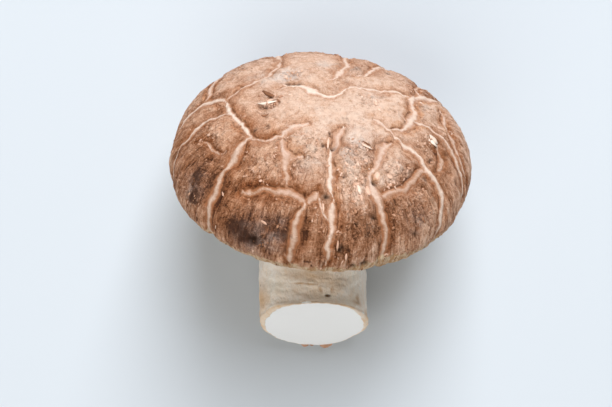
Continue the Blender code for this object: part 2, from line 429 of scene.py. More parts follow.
def along_route(places, route):
    """Each place's distance to the route, the share of the route at which it is nearest, the side it is on,
    and whether the route lies outwards of it (1) or inwards (-1)."""
    nearest = np.full(len(places), 1e9)
    share, side, outward = np.zeros((3, len(places)))
    ray = places / (np.hypot(*places.T)[:, None] + 1e-9)
    lengths = np.hypot(*np.diff(route, axis=0).T)
    starts = np.concatenate([[0.0], np.cumsum(lengths)])
    for start, end, length, before in zip(route[:-1], route[1:], lengths, starts):
        ahead = end - start
        t = np.clip((places - start) @ ahead / length**2, 0.0, 1.0)
        offset = start + t[:, None] * ahead - places
        distance = np.hypot(*offset.T)
        closer = distance < nearest
        nearest = np.where(closer, distance, nearest)
        share = np.where(closer, (before + t * length) / starts[-1], share)
        across = (ahead[0] * (places[:, 1] - start[1]) - ahead[1] * (places[:, 0] - start[0])) / length
        side = np.where(closer, across, side)
        outward = np.where(closer, (offset * ray).sum(axis=1) / (distance + 1e-9), outward)
    return nearest, share, side, outward


# %% Roughness, which keeps the splits from running smoothly
def roughness(points, size, octaves=3, seed=0.0):
    """Fractal noise of about -0.7 to 0.7 at each point, with blotches about this size."""
    shift = Vector((seed, 2.3 * seed, -1.7 * seed))
    return np.array([noise.fractal(Vector(point) / size + shift, 1.0, 2.0, octaves) for point in points])


def swaying(size, octaves, seeds):
    """Roughness along X and along Y."""
    return np.column_stack([roughness(on_cap, size, octaves, seed) for seed in seeds])


sway = swaying(3.2, 3, (11, 23)) * 0.55
swayed = flat + sway + swaying(1.0, 2, (29, 31)) * 0.28
width_noise = 1.0 + 0.55 * roughness(on_cap, 4.5, 2, 5)
print(f"the splits sway by up to {np.abs(swayed - flat).max():.1f} mm")

# %% Distance from every point of the skin to the nearest split
SPLIT_REACH = 6.0
SPLIT_TAPER = 0.18  # share of a split's length over which each of its ends narrows
edge = np.full(len(flat), SPLIT_REACH)  # distance to a split's edge, negative inside it
split_width = np.ones(len(flat))
whiteness = np.zeros(len(flat))
rust, outward = np.zeros((2, len(flat)))
for width, white, rusty_side, points in SPLITS.values():
    route = rounded_route(points)
    low, high = route.min(axis=0) - SPLIT_REACH, route.max(axis=0) + SPLIT_REACH
    near = np.where(((swayed > low) & (swayed < high)).all(axis=1))[0]
    distance, share, side, split_is_outward = along_route(swayed[near], route)
    local = width * width_noise[near] * (0.4 + 0.6 * smooth(np.minimum(share, 1 - share), 0.0, SPLIT_TAPER))
    signed = distance - local / 2
    closer = signed < edge[near]
    chosen = near[closer]
    edge[chosen] = signed[closer]
    split_width[chosen] = local[closer]
    whiteness[chosen] = white
    rust[chosen] = 0.5 + 0.5 * rusty_side * np.clip(side[closer] / 0.8, -1, 1) if rusty_side else 0.45
    outward[chosen] = split_is_outward[closer]
print(f"{len(SPLITS)} splits cover {100 * (edge < 0).mean():.0f}% of the skin's points")

# %% [markdown]
# ## Relief of the skin
#
# The plates are puffed up between the splits and curl up slightly at their edges. A split is a shallow
# trough whose floor bulges, because the flesh pushes out through it. The plates themselves are wrinkled and
# flaky, and towards the margin the skin is drawn into fine pleats that run outwards. One noise could lift
# all the skin alike, but it wouldn't know where the splits are. So each of these shapes is worked out as a
# height in millimetres at every point, from the distance to the splits and from its own noise, and all of
# them are added up.

# %% Spots: holes, bruises, flaky and greyish places, and tones, as (x, y, radius, strength)
HOLES = (
    (-12.1, -3.6, 0.55, 1), (-11.4, -3.7, 0.5, 1), (-10.4, -4.4, 0.38, 1), (-8.2, 3.6, 0.5, 1),
    (-7.5, 3.5, 0.35, 1), (-6.8, 3.5, 0.3, 0.9), (-6, 3.4, 0.28, 0.8), (0.2, -14.3, 0.4, 1),
    (1.9, -14.6, 0.45, 1), (1.2, -11.2, 0.25, 0.8), (1.2, -11.8, 0.25, 0.9), (6.7, -33.4, 0.4, 1),
    (1.7, -24.7, 0.6, 1), (10.5, -19.9, 0.5, 1), (4.7, -20.2, 0.4, 0.8), (4.6, -17.6, 0.35, 0.8),
    (8.2, -28.7, 0.4, 1), (11.9, -26.7, 0.6, 1), (22.4, -26.6, 0.6, 0.8), (14.4, -24.4, 0.5, 0.6),
    (22, -9.9, 0.4, 0.9), (29.7, -10.4, 0.5, 0.8), (-12.6, -33, 0.9, 1), (6.1, -34.2, 0.7, 1),
    (-2.5, -24.9, 0.4, 0.6), (21.4, -14.6, 0.7, 0.7), (12.6, -36, 0.7, 0.9), (10.2, -37, 0.5, 0.9),
    (-3.4, -16, 0.3, 0.5), (12, 16, 0.5, 0.7), (-18, 13, 0.5, 0.7), (-5, 30, 0.6, 0.7),
)
BRUISES = (
    (-16.5, -30, 2.2, 0.55), (-14.6, -31.6, 1.6, 0.75), (-12.6, -32.8, 1.5, 0.85), (-25.2, -19, 1.8, 0.8),
    (-26.6, -22.3, 1.8, 0.9), (-10.8, -9.8, 1, 0.42), (-13, -10.6, 0.9, 0.45), (-23.6, -16.3, 1.6, 0.5),
    (-9.6, -1.8, 0.8, 0.4), (30.5, -7.5, 1.6, 0.4), (-6, -32, 1.6, 0.5), (-1.6, -32.5, 1.4, 0.5),
    (5.9, -33, 1.3, 0.7), (11, -29, 1.3, 0.6), (20.5, 24, 3, 0.5), (-20, 27, 3, 0.5),
)
FLAKY = (
    (6, -14, 3.6, 1), (6.5, -19.5, 3.6, 1), (14, -15, 4, 0.9), (-10.5, -3, 3, 0.9), (-23, -10, 5, 0.9),
    (-12, -19, 5.5, 0.9), (-3, -15.5, 3.6, 0.7), (21, -6.5, 3, 0.8), (-18, -5, 3.5, 0.5),
    (19, -22, 6, 0.8), (-9, -28.5, 6, 0.8), (8, -29.5, 5, 0.8), (-27, -22, 5, 0.8), (8.5, 0, 3, 0.4),
    (20, 16, 7, 0.6), (-8, 30, 8, 0.7), (-20, 18, 6, 0.6), (10, 33, 6, 0.7),
)
GREYISH = (
    (-13.2, 6.7, 2.4, 1), (-10.4, 6.9, 2.6, 1), (-7.6, 6.2, 1.8, 0.6), (-1, 12.2, 2.2, 0.7),
    (5, 12, 1.8, 0.4), (7, -12, 3.2, 0.6), (4.6, -15.6, 1.8, 0.8), (-3.4, -17.5, 2.6, 0.5),
    (-25.5, -20, 3, 0.5), (-12.6, -32.5, 4, 0.6), (-7, -32, 3, 0.5), (15.5, -16, 3, 0.3),
    (-17, 22, 5, 0.5), (12, 24, 4, 0.5), (22, -24, 3, 0.4),
)
TONES = (
    (-22.5, -12, 4, 0.12), (-20, -16, 2.6, 0.11), (-15, -25.5, 3.2, 0.11), (20, 8, 3, 0.09),
    (25, 4, 3, 0.08), (9, -11.5, 2, -0.08), (-1.5, -20, 2, -0.09), (0, -31.5, 2, -0.08),
    (4.2, -33.5, 1.8, 0.14), (-20, -11, 2, -0.1), (-10.5, -13.5, 2.4, 0.07), (-3, -35, 2.5, -0.08),
    (-16, -32, 2.5, -0.1), (20.5, -5.5, 2, -0.05), (17.5, -12, 2, -0.1), (26, -5, 2.5, -0.1),
    (28.5, -11, 2.5, -0.1), (13.5, 4.5, 2.5, 0.06), (-11, -32, 3, -0.15), (-16, -31, 2.5, -0.1),
    (4, -31.5, 1.8, 0.16), (-30, -6, 3, -0.1), (8, -34, 2.5, -0.12), (-10, -25, 3.5, 0.09),
    (-4, -26, 3, 0.09), (-20, -24, 1.8, -0.08), (23, -22, 2.8, -0.13), (12, -9, 2, 0.07),
    (9, -20.5, 2.6, 0.09), (-24, -22, 2, 0.1), (-5, -17, 2.5, 0.08), (20, 8, 2.5, 0.09),
    (-7, -33, 3, -0.09), (25, -7, 2.5, -0.1), (-14, -8, 2.5, -0.07), (12, 2, 3, -0.07),
    (-2, -13.5, 1.8, -0.08), (-4, 6, 22, 0.07), (3, -5, 8, 0.24), (12, -2, 5, 0.12), (-6, -6, 5, 0.08),
    (-10, 8, 5, 0.05), (-5, 4, 4.5, 0.1), (7, 7, 5, 0.08), (18, 3, 6, 0.14), (20, 9, 3.5, 0.1),
    (-15, -24, 2.5, 0.12), (16, -9, 4, 0.08), (21, -10, 2.5, 0.1), (-17, -7, 2.2, 0.1),
    (-24, -18, 6, -0.32), (-29, -12, 6, -0.22), (-24, -19.5, 3.5, -0.2), (-18, -18, 5, -0.12),
    (-17, -28, 6, -0.3), (-19, -25, 3.5, -0.22), (-11, -32, 4.5, -0.3), (-10, -27, 5, -0.2),
    (-12, -19, 4, -0.1), (0, -31, 6, -0.18), (-3, -34, 5, -0.14), (-3, -17, 5, 0.15), (-7, -13, 3, 0.06),
    (11, -18, 4, 0.26), (5, -22, 3.5, 0.24), (1, -28, 2.5, 0.22), (4.5, -31, 2, 0.15),
    (13, -33.5, 2, 0.12), (-16, -31, 3.5, -0.24), (-4, -21.5, 2.5, -0.22), (-13, -8, 2, -0.08),
    (-31, -6, 3, -0.08), (2, -35.5, 2.5, -0.1), (-8, -20, 3, 0.1), (12, -31, 4, -0.26),
    (9, -30, 3, -0.16), (8, -34.5, 2.8, -0.3), (19, -26, 4.5, -0.22), (12, -26, 2, -0.08),
    (20, -24, 6, -0.12), (27, -22, 4, 0.12), (6, -29, 4, -0.12), (26, -14, 6, -0.08), (30, -6, 5, -0.08),
    (-24, 0, 5, -0.06), (-12, -12, 3, -0.12), (13, -14, 3, 0.1), (0, 30, 12, -0.08), (-20, 25, 9, -0.14),
    (22, 22, 8, -0.12),
)
print(f"{len(HOLES)} holes, {len(BRUISES)} bruises, {len(FLAKY)} flaky places, {len(TONES)} tones")

# %% Helpers that turn spots and noise into values on the skin
def spotted(spots):
    """The sum of soft round spots at each point of the skin."""
    total = np.zeros(len(flat))
    for x, y, radius, strength in spots:
        distance = np.hypot(swayed[:, 0] - x, swayed[:, 1] - y)
        total += strength * np.exp(-((distance / radius) ** 2))
    return total


def valleys(points, size, octaves, seed, sharpness):
    """Narrow valleys, 1 at the bottom, where a noise passes through zero."""
    return np.exp(-np.abs(roughness(points, size, octaves, seed)) * sharpness)


def scales(points, size, seed):
    """Cells like small overlapping scales: each has its own height, with a gap of 0 between them."""
    heights, gaps = np.empty(len(points)), np.empty(len(points))
    shift = Vector((seed, -seed, 2.7 * seed))
    for index, point in enumerate(points):
        distances, nearest = noise.voronoi(Vector(point) / size + shift)
        heights[index] = noise.cell(nearest[0] * 9.7)
        gaps[index] = distances[1] - distances[0]
    return heights, gaps * size


holes = np.clip(spotted(HOLES), 0, 1)
bruises = np.clip(spotted(BRUISES) * (1 + 0.9 * roughness(on_cap, 1.2, 3, 61)), 0, 1)
tones = spotted(TONES)
flaky = np.clip(0.15 + spotted(FLAKY) * 0.9 + 0.9 * roughness(on_cap, 5.0, 2, 63), 0, 1)
print(f"{100 * (flaky > 0.5).mean():.0f}% of the skin is flaky")

# %% Relief of the splits, with its heights in millimetres
SPLIT_DEPTH = 0.14
FLESH_BULGE = 0.06
FLESH_LUMPS = 0.25
CURL_HEIGHT = 0.12
CURL_AT = 0.7  # mm from the split's edge
PLATE_PUFF = 0.85
PLATE_SINK = 0.55
inside = np.clip(-edge / (split_width / 2), 0, 1)  # 0 at a split's edge, 1 on its middle line
hollow = SPLIT_DEPTH * np.clip(split_width / 1.4, 0.5, 1.3)
flesh_swell = (FLESH_BULGE + hollow) * smooth(inside, 0.0, 0.9)
flesh_swell += FLESH_LUMPS * roughness(on_cap, 1.6, 3, 85) * inside
trough = np.where(edge < 0, flesh_swell - hollow, -hollow * np.exp(-((edge / 0.3) ** 2)))
curl = CURL_HEIGHT * np.exp(-(((edge - CURL_AT) / 0.45) ** 2)) * (1 + 2.0 * roughness(on_cap, 2.0, 2, 65))
young = np.exp(-(((flat[:, 0] - 1) / 15) ** 2) - ((flat[:, 1] - 2) / 12) ** 2)  # the skin near the apex
puff = (PLATE_PUFF * (1 - np.exp(-np.maximum(edge, 0) / 1.5)) - PLATE_SINK) * (1 - 0.5 * young)
print(f"splits are up to {-trough.min():.2f} mm deep, plates puffed up to {puff.max():.2f} mm")

# %% Relief of the plates, with its heights in millimetres
SCALE_HEIGHT = 0.26
SCALE_GAP_DEPTH = 0.2
PLEAT_DEPTH = 0.24
WRINKLE_DEPTH = 0.18
BROAD_LUMPS = 0.5
SMALL_LUMPS = 0.36
GRAIN_HEIGHT = 0.06
on_plate = smooth(edge, -0.1, 0.3)
outer_skin = smooth(walked, 13, 30)
away_from_apex = 0.25 + 0.75 * smooth(np.hypot(flat[:, 0] - 4, flat[:, 1] + 3), 6, 13)
ray = np.column_stack([np.cos(direction) * 26, np.sin(direction) * 26, walked * 0.14])
pleats = valleys(ray, 1.5, 3, 3, 5.0) * outer_skin
wrinkles = valleys(on_cap, 3.6, 3, 51, 8.0) * smooth(roughness(on_cap, 7.0, 2, 53), -0.12, 0.12)
scale_height, scale_gap = scales(on_cap + sway[:, [0, 1, 0]] * 1.2, 1.7, 5.0)
gaps = np.exp(-((scale_gap / 0.16) ** 2))
scaly = flaky * (SCALE_HEIGHT * (scale_height - 0.5) - SCALE_GAP_DEPTH * gaps)
# the relief is weaker towards the margin, and on the side away from the stem's cut end
calm = (1 - 0.65 * smooth(walked, 22, 35)) * (1 - 0.45 * smooth(flat[:, 1], 4, 15))
lumps = BROAD_LUMPS * roughness(on_cap, 6.0, 2, 7)
lumps = (lumps + SMALL_LUMPS * roughness(on_cap, 2.4, 3, 9) * away_from_apex) * calm
texture = scaly - PLEAT_DEPTH * pleats - WRINKLE_DEPTH * wrinkles
texture = away_from_apex * on_plate * texture * calm + GRAIN_HEIGHT * roughness(on_cap, 0.7, 2, 13)
print(f"lumps of up to {lumps.max():.2f} mm, texture of up to {texture.max():.2f} mm")

# %% Lift the skin, by millimetres
HOLE_DEPTH = 0.55
VEIL_THINNING = 0.3
SUNK_BY = 0.25  # so that peaks and hollows lie on both sides of the CAD surface


def write_points(mesh, points):
    mesh.vertices.foreach_set("co", points.astype(np.float32).ravel())
    mesh.update()


def face_outward(mesh, thickness=0.0):
    """Turns all faces outward. With a thickness, it first makes plates out of the mesh's open sheets."""
    bm = bmesh.new()
    bm.from_mesh(mesh)
    bmesh.ops.recalc_face_normals(bm, faces=bm.faces)
    if thickness:
        bmesh.ops.solidify(bm, geom=bm.faces[:], thickness=thickness)
        bmesh.ops.recalc_face_normals(bm, faces=bm.faces)
    bm.to_mesh(mesh)
    bm.free()


relief = (trough + curl + puff) * (0.45 + 0.55 * calm) + lumps + texture - HOLE_DEPTH * holes - SUNK_BY
relief *= 1 - smooth(walked, MARGIN_END - 1.0, LIP_END - 1.0)
veil_band = smooth(walked, 40.2, 40.8) * (1 - smooth(walked, 43, 45))  # torn veil, thinner than the skin
relief -= VEIL_THINNING * veil_band * (0.6 + roughness(ray, 1.0, 2, 71))
placed = lay_down(wrap(flat, relief))
placed[:, 2] = np.maximum(placed[:, 2], 0.0)  # the skin is pressed flat where it touches the table
write_points(cap_mesh, placed)
face_outward(cap_mesh)
print(f"relief from {relief.min():.2f} to {relief.max():.2f} mm")

# %% [markdown]
# ## Facts that the skin carries to its material
#
# What was worked out for the relief also decides the colour: where the splits are, how dry their edges are,
# where the skin is bruised or flaky, and where shade is painted into its furrows and onto the plates'
# edges. A picture laid over the skin could tell the material the same, but it would have to be unwrapped,
# and it would be coarse from near. So each fact is stored in the mesh, as a number at every point, and the
# material reads it by its name.

# %% Helpers that finish a piece
def paint(mesh, facts):
    """Stores one number, or one vector, at each vertex for the materials to read."""
    for name, values in facts.items():
        is_vector = values.ndim == 2
        layer = mesh.attributes.new(name, "FLOAT_VECTOR" if is_vector else "FLOAT", "POINT")
        layer.data.foreach_set("vector" if is_vector else "value", values.astype(np.float32).ravel())


def piece(name, mesh, node):
    """Makes the mesh a piece of the mushroom that stands for a CAD node."""
    mesh.shade_smooth()
    obj = bpy.data.objects.new(name, mesh)
    bpy.context.scene.collection.objects.link(obj)
    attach(obj, "root")
    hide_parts(node)
    print(f"{name}: {len(mesh.polygons)} faces")


# %% Hand the skin's facts to its material
# painted shade: the plates are darker towards the splits' edges, where they dip into the splits, and
# lighter in their middle
plate_edge_shade = (0.17 * smooth(edge, 0.2, 2.6) - 0.09) * (1 - 0.85 * young)
scale_tones = 0.12 * flaky * (scale_height - 0.5)
# painted shade on each plate's edge that faces a split lying outwards of it, where the puffed plate rolls
# down
outer_edge_shade = smooth(outward, -0.1, 0.9) * np.exp(-np.maximum(edge, 0) / 1.5) * smooth(edge, -0.2, 0.1)
# painted shade in the pleats, the wrinkles and the gaps between scales
furrow_shade = np.clip(0.5 * pleats + 0.25 * wrinkles + 0.6 * flaky * np.exp(-((scale_gap / 0.2) ** 2)), 0, 1)
warm_front = smooth(-flat[:, 1] - 1.4 * flat[:, 0], 0, 50)
warm_side = 0.6 * smooth(flat[:, 0], 12, 22) * smooth(-flat[:, 1], 0, 12)
# rust on the splits' rusty sides, and painted shade on the plates' edges that face outwards towards a split
rust_and_edge_shade = np.maximum(rust, smooth(outward, 0.2, 0.9)) * (1 - 0.8 * young)
degrees = np.degrees(direction)
veil_start = 40.4 - 1.3 * smooth(-np.sin(direction), 0.1, 0.6) - 1.8 * np.exp(-(((degrees + 62) / 12) ** 2))
paint(cap_mesh, {
    "edge": edge,
    "inside": inside,
    "whiteness": whiteness,
    "tone": tones + plate_edge_shade + scale_tones - 0.15 * outer_edge_shade * (1 - young),
    "furrow": furrow_shade * away_from_apex,
    "greyish": np.clip(spotted(GREYISH) * (1 + 1.2 * roughness(on_cap, 1.5, 3, 91)), 0, 1),
    "warmth": np.maximum(warm_front, warm_side),
    "bruise": bruises,
    "hole": holes,
    "flaky": flaky,
    "rust_and_shade": np.clip(rust_and_edge_shade * (1 + 1.5 * roughness(on_cap, 3.0, 2, 81)), 0, 1),
    "walked": walked,
    "veil": walked - veil_start + 0.6 * roughness(ray, 0.5, 3, 77),
    "around": np.column_stack([np.cos(direction), np.sin(direction), walked / 40]),
})
piece("cap_skin", cap_mesh, "cap")

# %% [markdown]
# ## Shader helpers and shared effects
#
# The same few effects are on every part of a mushroom: blotches of lighter and darker tissue, fibres along
# the direction of growth, small pits, and edges that are torn and not cut. Each is a node group that gives
# a mask, so that a material only has to say how big, how strong and in which colour.

# %% Helpers for numbers
def feed(tree, socket, value):
    """Links a socket to another one, or sets its number or colour."""
    if isinstance(value, bpy.types.NodeSocket):
        tree.links.new(value, socket)
    else:
        socket.default_value = value


def maths(tree, operation, first, second=0.0, third=0.0, clamp=False):
    node = tree.nodes.new("ShaderNodeMath")
    node.operation = operation
    node.use_clamp = clamp
    for socket, value in zip(node.inputs, (first, second, third)):
        feed(tree, socket, value)
    return node.outputs[0]


def times(tree, first, second):
    return maths(tree, "MULTIPLY", first, second)


def minus(tree, first, second):
    return maths(tree, "SUBTRACT", first, second)


def stir(tree, value, mask, amount, clamp=False):
    """Adds a mask to a value, so that the mask's middle grey changes nothing."""
    return maths(tree, "MULTIPLY_ADD", minus(tree, mask, 0.5), amount, value, clamp)


def spread(tree, value, low, high, new_low=0.0, new_high=1.0):
    """Maps low..high to new_low..new_high along an S-curve, and clamps."""
    node = tree.nodes.new("ShaderNodeMapRange")
    node.interpolation_type = "SMOOTHSTEP"
    for socket, number in zip(node.inputs, (value, low, high, new_low, new_high)):
        feed(tree, socket, number)
    return node.outputs[0]


# %% Helpers for colours, noise and places
def blend(tree, factor, first, second, mode="MIX"):
    """Lays the second colour over the first where the factor is 1."""
    node = tree.nodes.new("ShaderNodeMix")
    node.data_type = "RGBA"
    node.blend_type = mode
    feed(tree, node.inputs[0], factor)
    for socket, colour in zip(node.inputs[6:8], (first, second)):
        feed(tree, socket, (*colour, 1.0) if isinstance(colour, tuple) else colour)
    return node.outputs[2]


def blotches(tree, vector, scale, detail=4.0, rough=0.55, distortion=0.0):
    """Soft noise of about 0.2 to 0.8, finer for a greater scale."""
    node = tree.nodes.new("ShaderNodeTexNoise")
    feed(tree, node.inputs["Vector"], vector)
    feed(tree, node.inputs["Scale"], scale)
    node.inputs["Detail"].default_value = detail
    node.inputs["Roughness"].default_value = rough
    node.inputs["Distortion"].default_value = distortion
    return node.outputs["Fac"]


def stretched(tree, vector, scale):
    node = tree.nodes.new("ShaderNodeMapping")
    feed(tree, node.inputs["Vector"], vector)
    feed(tree, node.inputs["Scale"], scale)
    return node.outputs[0]


def painted(tree, name, output="Fac"):
    """Reads what paint() stored."""
    node = tree.nodes.new("ShaderNodeAttribute")
    node.attribute_name = name
    return node.outputs[output]


def millimetres(tree):
    """Object coordinates, in millimetres."""
    place = tree.nodes.new("ShaderNodeTexCoord").outputs["Object"]
    return stretched(tree, place, (1000.0, 1000.0, 1000.0))


def ramp(tree, value, stops):
    """Turns a value into a colour. The first two stops are the ones that a new ramp already has."""
    node = tree.nodes.new("ShaderNodeValToRGB")
    feed(tree, node.inputs[0], value)
    elements = node.color_ramp.elements
    for index, (position, colour) in enumerate(stops):
        element = elements[index] if index < 2 else elements.new(position)
        element.position = position
        element.color = (*colour, 1.0)
    return node.outputs[0]


# %% Helpers for node groups
def new_group(name, inputs):
    """Makes an empty node group, and gives it with its inputs and with the socket for its mask."""
    group = bpy.data.node_groups.new(name, "ShaderNodeTree")
    for label, default in inputs.items():
        kind = "NodeSocketVector" if default is None else "NodeSocketFloat"
        socket = group.interface.new_socket(label, in_out="INPUT", socket_type=kind)
        if default is not None:
            socket.default_value = default
    group.interface.new_socket("Mask", in_out="OUTPUT", socket_type="NodeSocketFloat")
    mask = group.nodes.new("NodeGroupOutput").inputs["Mask"]
    return group, group.nodes.new("NodeGroupInput").outputs, mask


def use(tree, group, **values):
    """Places a group in a tree and gives its mask."""
    node = tree.nodes.new("ShaderNodeGroup")
    node.node_tree = group
    for label, value in values.items():
        feed(tree, node.inputs[label], value)
    return node.outputs["Mask"]


# %% Mottling: soft blotches from 0 to 1
MOTTLING, given, mask = new_group("mottling", {"Vector": None, "Size": 1.0, "Contrast": 1.0})
per_size = maths(MOTTLING, "DIVIDE", 1.0, given["Size"])
cloud = blotches(MOTTLING, given["Vector"], per_size, 6.0, 0.62, 0.4)
feed(MOTTLING, mask, stir(MOTTLING, 0.5, cloud, given["Contrast"], clamp=True))
print(f"mottling: {len(MOTTLING.nodes)} nodes")

# %% Fibres: streaks across a vector that the material has stretched
FIBRES, given, mask = new_group("fibres", {"Vector": None, "Fineness": 10.0, "Contrast": 1.0})
broad = blotches(FIBRES, given["Vector"], given["Fineness"], 3.0, 0.6, 0.15)
fine = blotches(FIBRES, given["Vector"], times(FIBRES, given["Fineness"], 3.1), 2.0, 0.6, 0.1)
both = maths(FIBRES, "ADD", times(FIBRES, broad, 0.6), times(FIBRES, fine, 0.4))
feed(FIBRES, mask, stir(FIBRES, 0.5, both, given["Contrast"], clamp=True))
print(f"fibres: {len(FIBRES.nodes)} nodes")

# %% Pits: scattered small dimples, present in this share of the cells
PITS, given, mask = new_group("pits", {"Vector": None, "Spacing": 1.0, "Radius": 0.2, "Share": 0.5})
cells = PITS.nodes.new("ShaderNodeTexVoronoi")
wavy = PITS.nodes.new("ShaderNodeVectorMath")
wavy.operation = "ADD"
wobble = PITS.nodes.new("ShaderNodeTexNoise")
wobble.inputs["Scale"].default_value = 2.0
feed(PITS, wobble.inputs["Vector"], given["Vector"])
feed(PITS, wavy.inputs[0], given["Vector"])
feed(PITS, wavy.inputs[1], wobble.outputs["Color"])
feed(PITS, cells.inputs["Vector"], wavy.outputs[0])
feed(PITS, cells.inputs["Scale"], maths(PITS, "DIVIDE", 1.0, given["Spacing"]))
dimple = spread(PITS, cells.outputs["Distance"], given["Radius"], times(PITS, given["Radius"], 0.4))
chance = PITS.nodes.new("ShaderNodeSeparateColor")
feed(PITS, chance.inputs[0], cells.outputs["Color"])
is_there = maths(PITS, "LESS_THAN", chance.outputs[0], given["Share"])
feed(PITS, mask, times(PITS, dimple, is_there))
print(f"pits: {len(PITS.nodes)} nodes")

# %% Creases: thin broken lines
CREASES, given, mask = new_group("creases", {"Vector": None, "Size": 1.5, "Width": 0.04})
per_size = maths(CREASES, "DIVIDE", 1.0, given["Size"])
level = blotches(CREASES, given["Vector"], per_size, 3.0, 0.6, 0.6)
off_level = maths(CREASES, "ABSOLUTE", minus(CREASES, level, 0.5))
line = spread(CREASES, off_level, given["Width"], 0.0)
breaks = spread(CREASES, blotches(CREASES, given["Vector"], times(CREASES, per_size, 1.3)), 0.47, 0.6)
feed(CREASES, mask, times(CREASES, line, breaks))
print(f"creases: {len(CREASES.nodes)} nodes")

# %% Ragged edge: 1 where a distance is under zero, with a torn border
ragged_inputs = {"Distance": 0.0, "Vector": None, "Softness": 0.2, "Raggedness": 0.3, "Size": 0.5}
RAGGED, given, mask = new_group("ragged_edge", ragged_inputs)
torn = blotches(RAGGED, given["Vector"], maths(RAGGED, "DIVIDE", 1.0, given["Size"]), 5.0, 0.65)
moved = stir(RAGGED, given["Distance"], torn, times(RAGGED, given["Raggedness"], 2.0))
inner = times(RAGGED, given["Softness"], -1.0)
feed(RAGGED, mask, spread(RAGGED, moved, given["Softness"], inner))
print(f"ragged edge: {len(RAGGED.nodes)} nodes")

# %% [markdown]
# ## The finish of the cap's skin
#
# The plates run from tan to dark brown, with fibres that lie outwards from the apex, and their edges are
# rusty from drying. Painted shade darkens their furrows, creases, pits and holes, a thin line along each
# split, and the plates' edges that dip into the splits. Pinkish flesh shows in the splits, whitest where
# the tear is fresh. At the margin the skin thins out to a ragged cream band of veil remains. One painted
# picture could hold all this, but it would blur from near. Here each effect is a mask, most of them driven
# by the facts that the mesh carries, and colours are laid over each other through those masks, from the
# plates up.

# %% Colours of skin and flesh
DARK = (0.085, 0.032, 0.014)
BROWN = (0.255, 0.105, 0.048)
CHESTNUT = (0.430, 0.210, 0.115)
TAN = (0.630, 0.370, 0.250)
PALE = (0.790, 0.525, 0.385)
BLOOM = (0.900, 0.660, 0.520)
RUST = (0.400, 0.160, 0.070)
BRUISE = (0.078, 0.030, 0.016)
PINK_FLESH = (0.700, 0.430, 0.310)
OLD_FLESH = (0.520, 0.275, 0.165)
LIGHT_FLESH = (0.790, 0.540, 0.410)
WHITE_FLESH = (0.930, 0.780, 0.640)
CREAM = (0.560, 0.310, 0.150)
LIGHT_CREAM = (0.800, 0.590, 0.390)
WARM_TINT = (1.0, 0.82, 0.64)
DRY_TINT = (0.86, 0.66, 0.48)
GREY_BROWN = (0.240, 0.165, 0.135)
PALE_GREY = (0.860, 0.740, 0.655)
PIT_SHADE = (0.120, 0.050, 0.024)
GAP_SHADE = (0.150, 0.060, 0.026)
HOLE_SHADE = (0.030, 0.012, 0.005)
PLATE_SHADES = ((0.0, DARK), (1.0, BLOOM), (0.2, BROWN), (0.42, CHESTNUT), (0.64, TAN), (0.82, PALE))
FLESH_SHADES = ((0.15, RUST), (1.0, LIGHT_FLESH), (0.45, OLD_FLESH), (0.8, PINK_FLESH))
print(f"{len(PLATE_SHADES)} shades for the plates, {len(FLESH_SHADES)} for the flesh")

# %% Masks of the skin
skin, tree, shader = new_material("cap_skin", 0.72, specular=0.12)
place = millimetres(tree)
lengthwise = stretched(tree, painted(tree, "around", "Vector"), (26.0, 26.0, 7.0))
edge_distance = painted(tree, "edge")
flakiness = maths(tree, "MAXIMUM", painted(tree, "flaky"), 0.3)
outwards = spread(tree, painted(tree, "walked"), 14.0, 30.0, 0.1, 1.0)
patches, middling, crumbs, dust = (
    use(tree, MOTTLING, Vector=place, Size=size, Contrast=contrast)
    for size, contrast in ((4.0, 1.6), (1.7, 2.2), (0.8, 2.2), (0.22, 2.6))
)
streaks = use(tree, FIBRES, Vector=lengthwise, Fineness=1.1, Contrast=3.2)
pits = use(tree, PITS, Vector=place, Spacing=1.0, Radius=0.17, Share=0.5)
fine_pits = use(tree, PITS, Vector=place, Spacing=0.55, Radius=0.24, Share=0.35)
pitted = times(tree, maths(tree, "MAXIMUM", pits, times(tree, fine_pits, 0.8)), flakiness)
flecks = times(tree, use(tree, PITS, Vector=place, Spacing=0.6, Radius=0.34, Share=0.4), flakiness)
coarse_creases = use(tree, CREASES, Vector=place, Size=2.2, Width=0.03)
fine_creases = use(tree, CREASES, Vector=place, Size=0.9, Width=0.045)
creased = times(tree, maths(tree, "MAXIMUM", coarse_creases, fine_creases), flakiness)
pleated = times(tree, use(tree, CREASES, Vector=lengthwise, Size=1.5, Width=0.05), outwards)
lined = maths(tree, "MAXIMUM", pleated, creased)
print(f"cap_skin: {len(tree.nodes)} nodes for its masks")

# %% Colour of the plates
value = maths(tree, "ADD", 0.68, painted(tree, "tone"))
for mask, amount in ((patches, 0.36), (middling, 0.30), (crumbs, 0.28), (dust, 0.36)):
    value = stir(tree, value, mask, amount)
margin_streaks = spread(tree, painted(tree, "walked"), 29.0, 37.0, 0.0, 0.3)
value = stir(tree, value, streaks, maths(tree, "MULTIPLY_ADD", outwards, 0.36, margin_streaks))
# painted shade: the furrows and creases are darkened in colour where the relief dips; the flecks are
# lighter
for mask, amount in ((painted(tree, "furrow"), -0.10), (lined, -0.24), (flecks, 0.32)):
    value = maths(tree, "MULTIPLY_ADD", mask, amount, value)
plates = ramp(tree, value, PLATE_SHADES)
warm = use(tree, MOTTLING, Vector=place, Size=5.5, Contrast=2.4)
warm = maths(tree, "MULTIPLY_ADD", warm, 0.35, times(tree, painted(tree, "warmth"), 0.40))
plates = blend(tree, warm, plates, WARM_TINT, "MULTIPLY")
greyish = times(tree, painted(tree, "greyish"), 0.6)
plates = blend(tree, greyish, plates, blend(tree, value, GREY_BROWN, PALE_GREY))
# painted shade in the pits' dimples
plates = blend(tree, times(tree, pitted, 0.75), plates, PIT_SHADE)
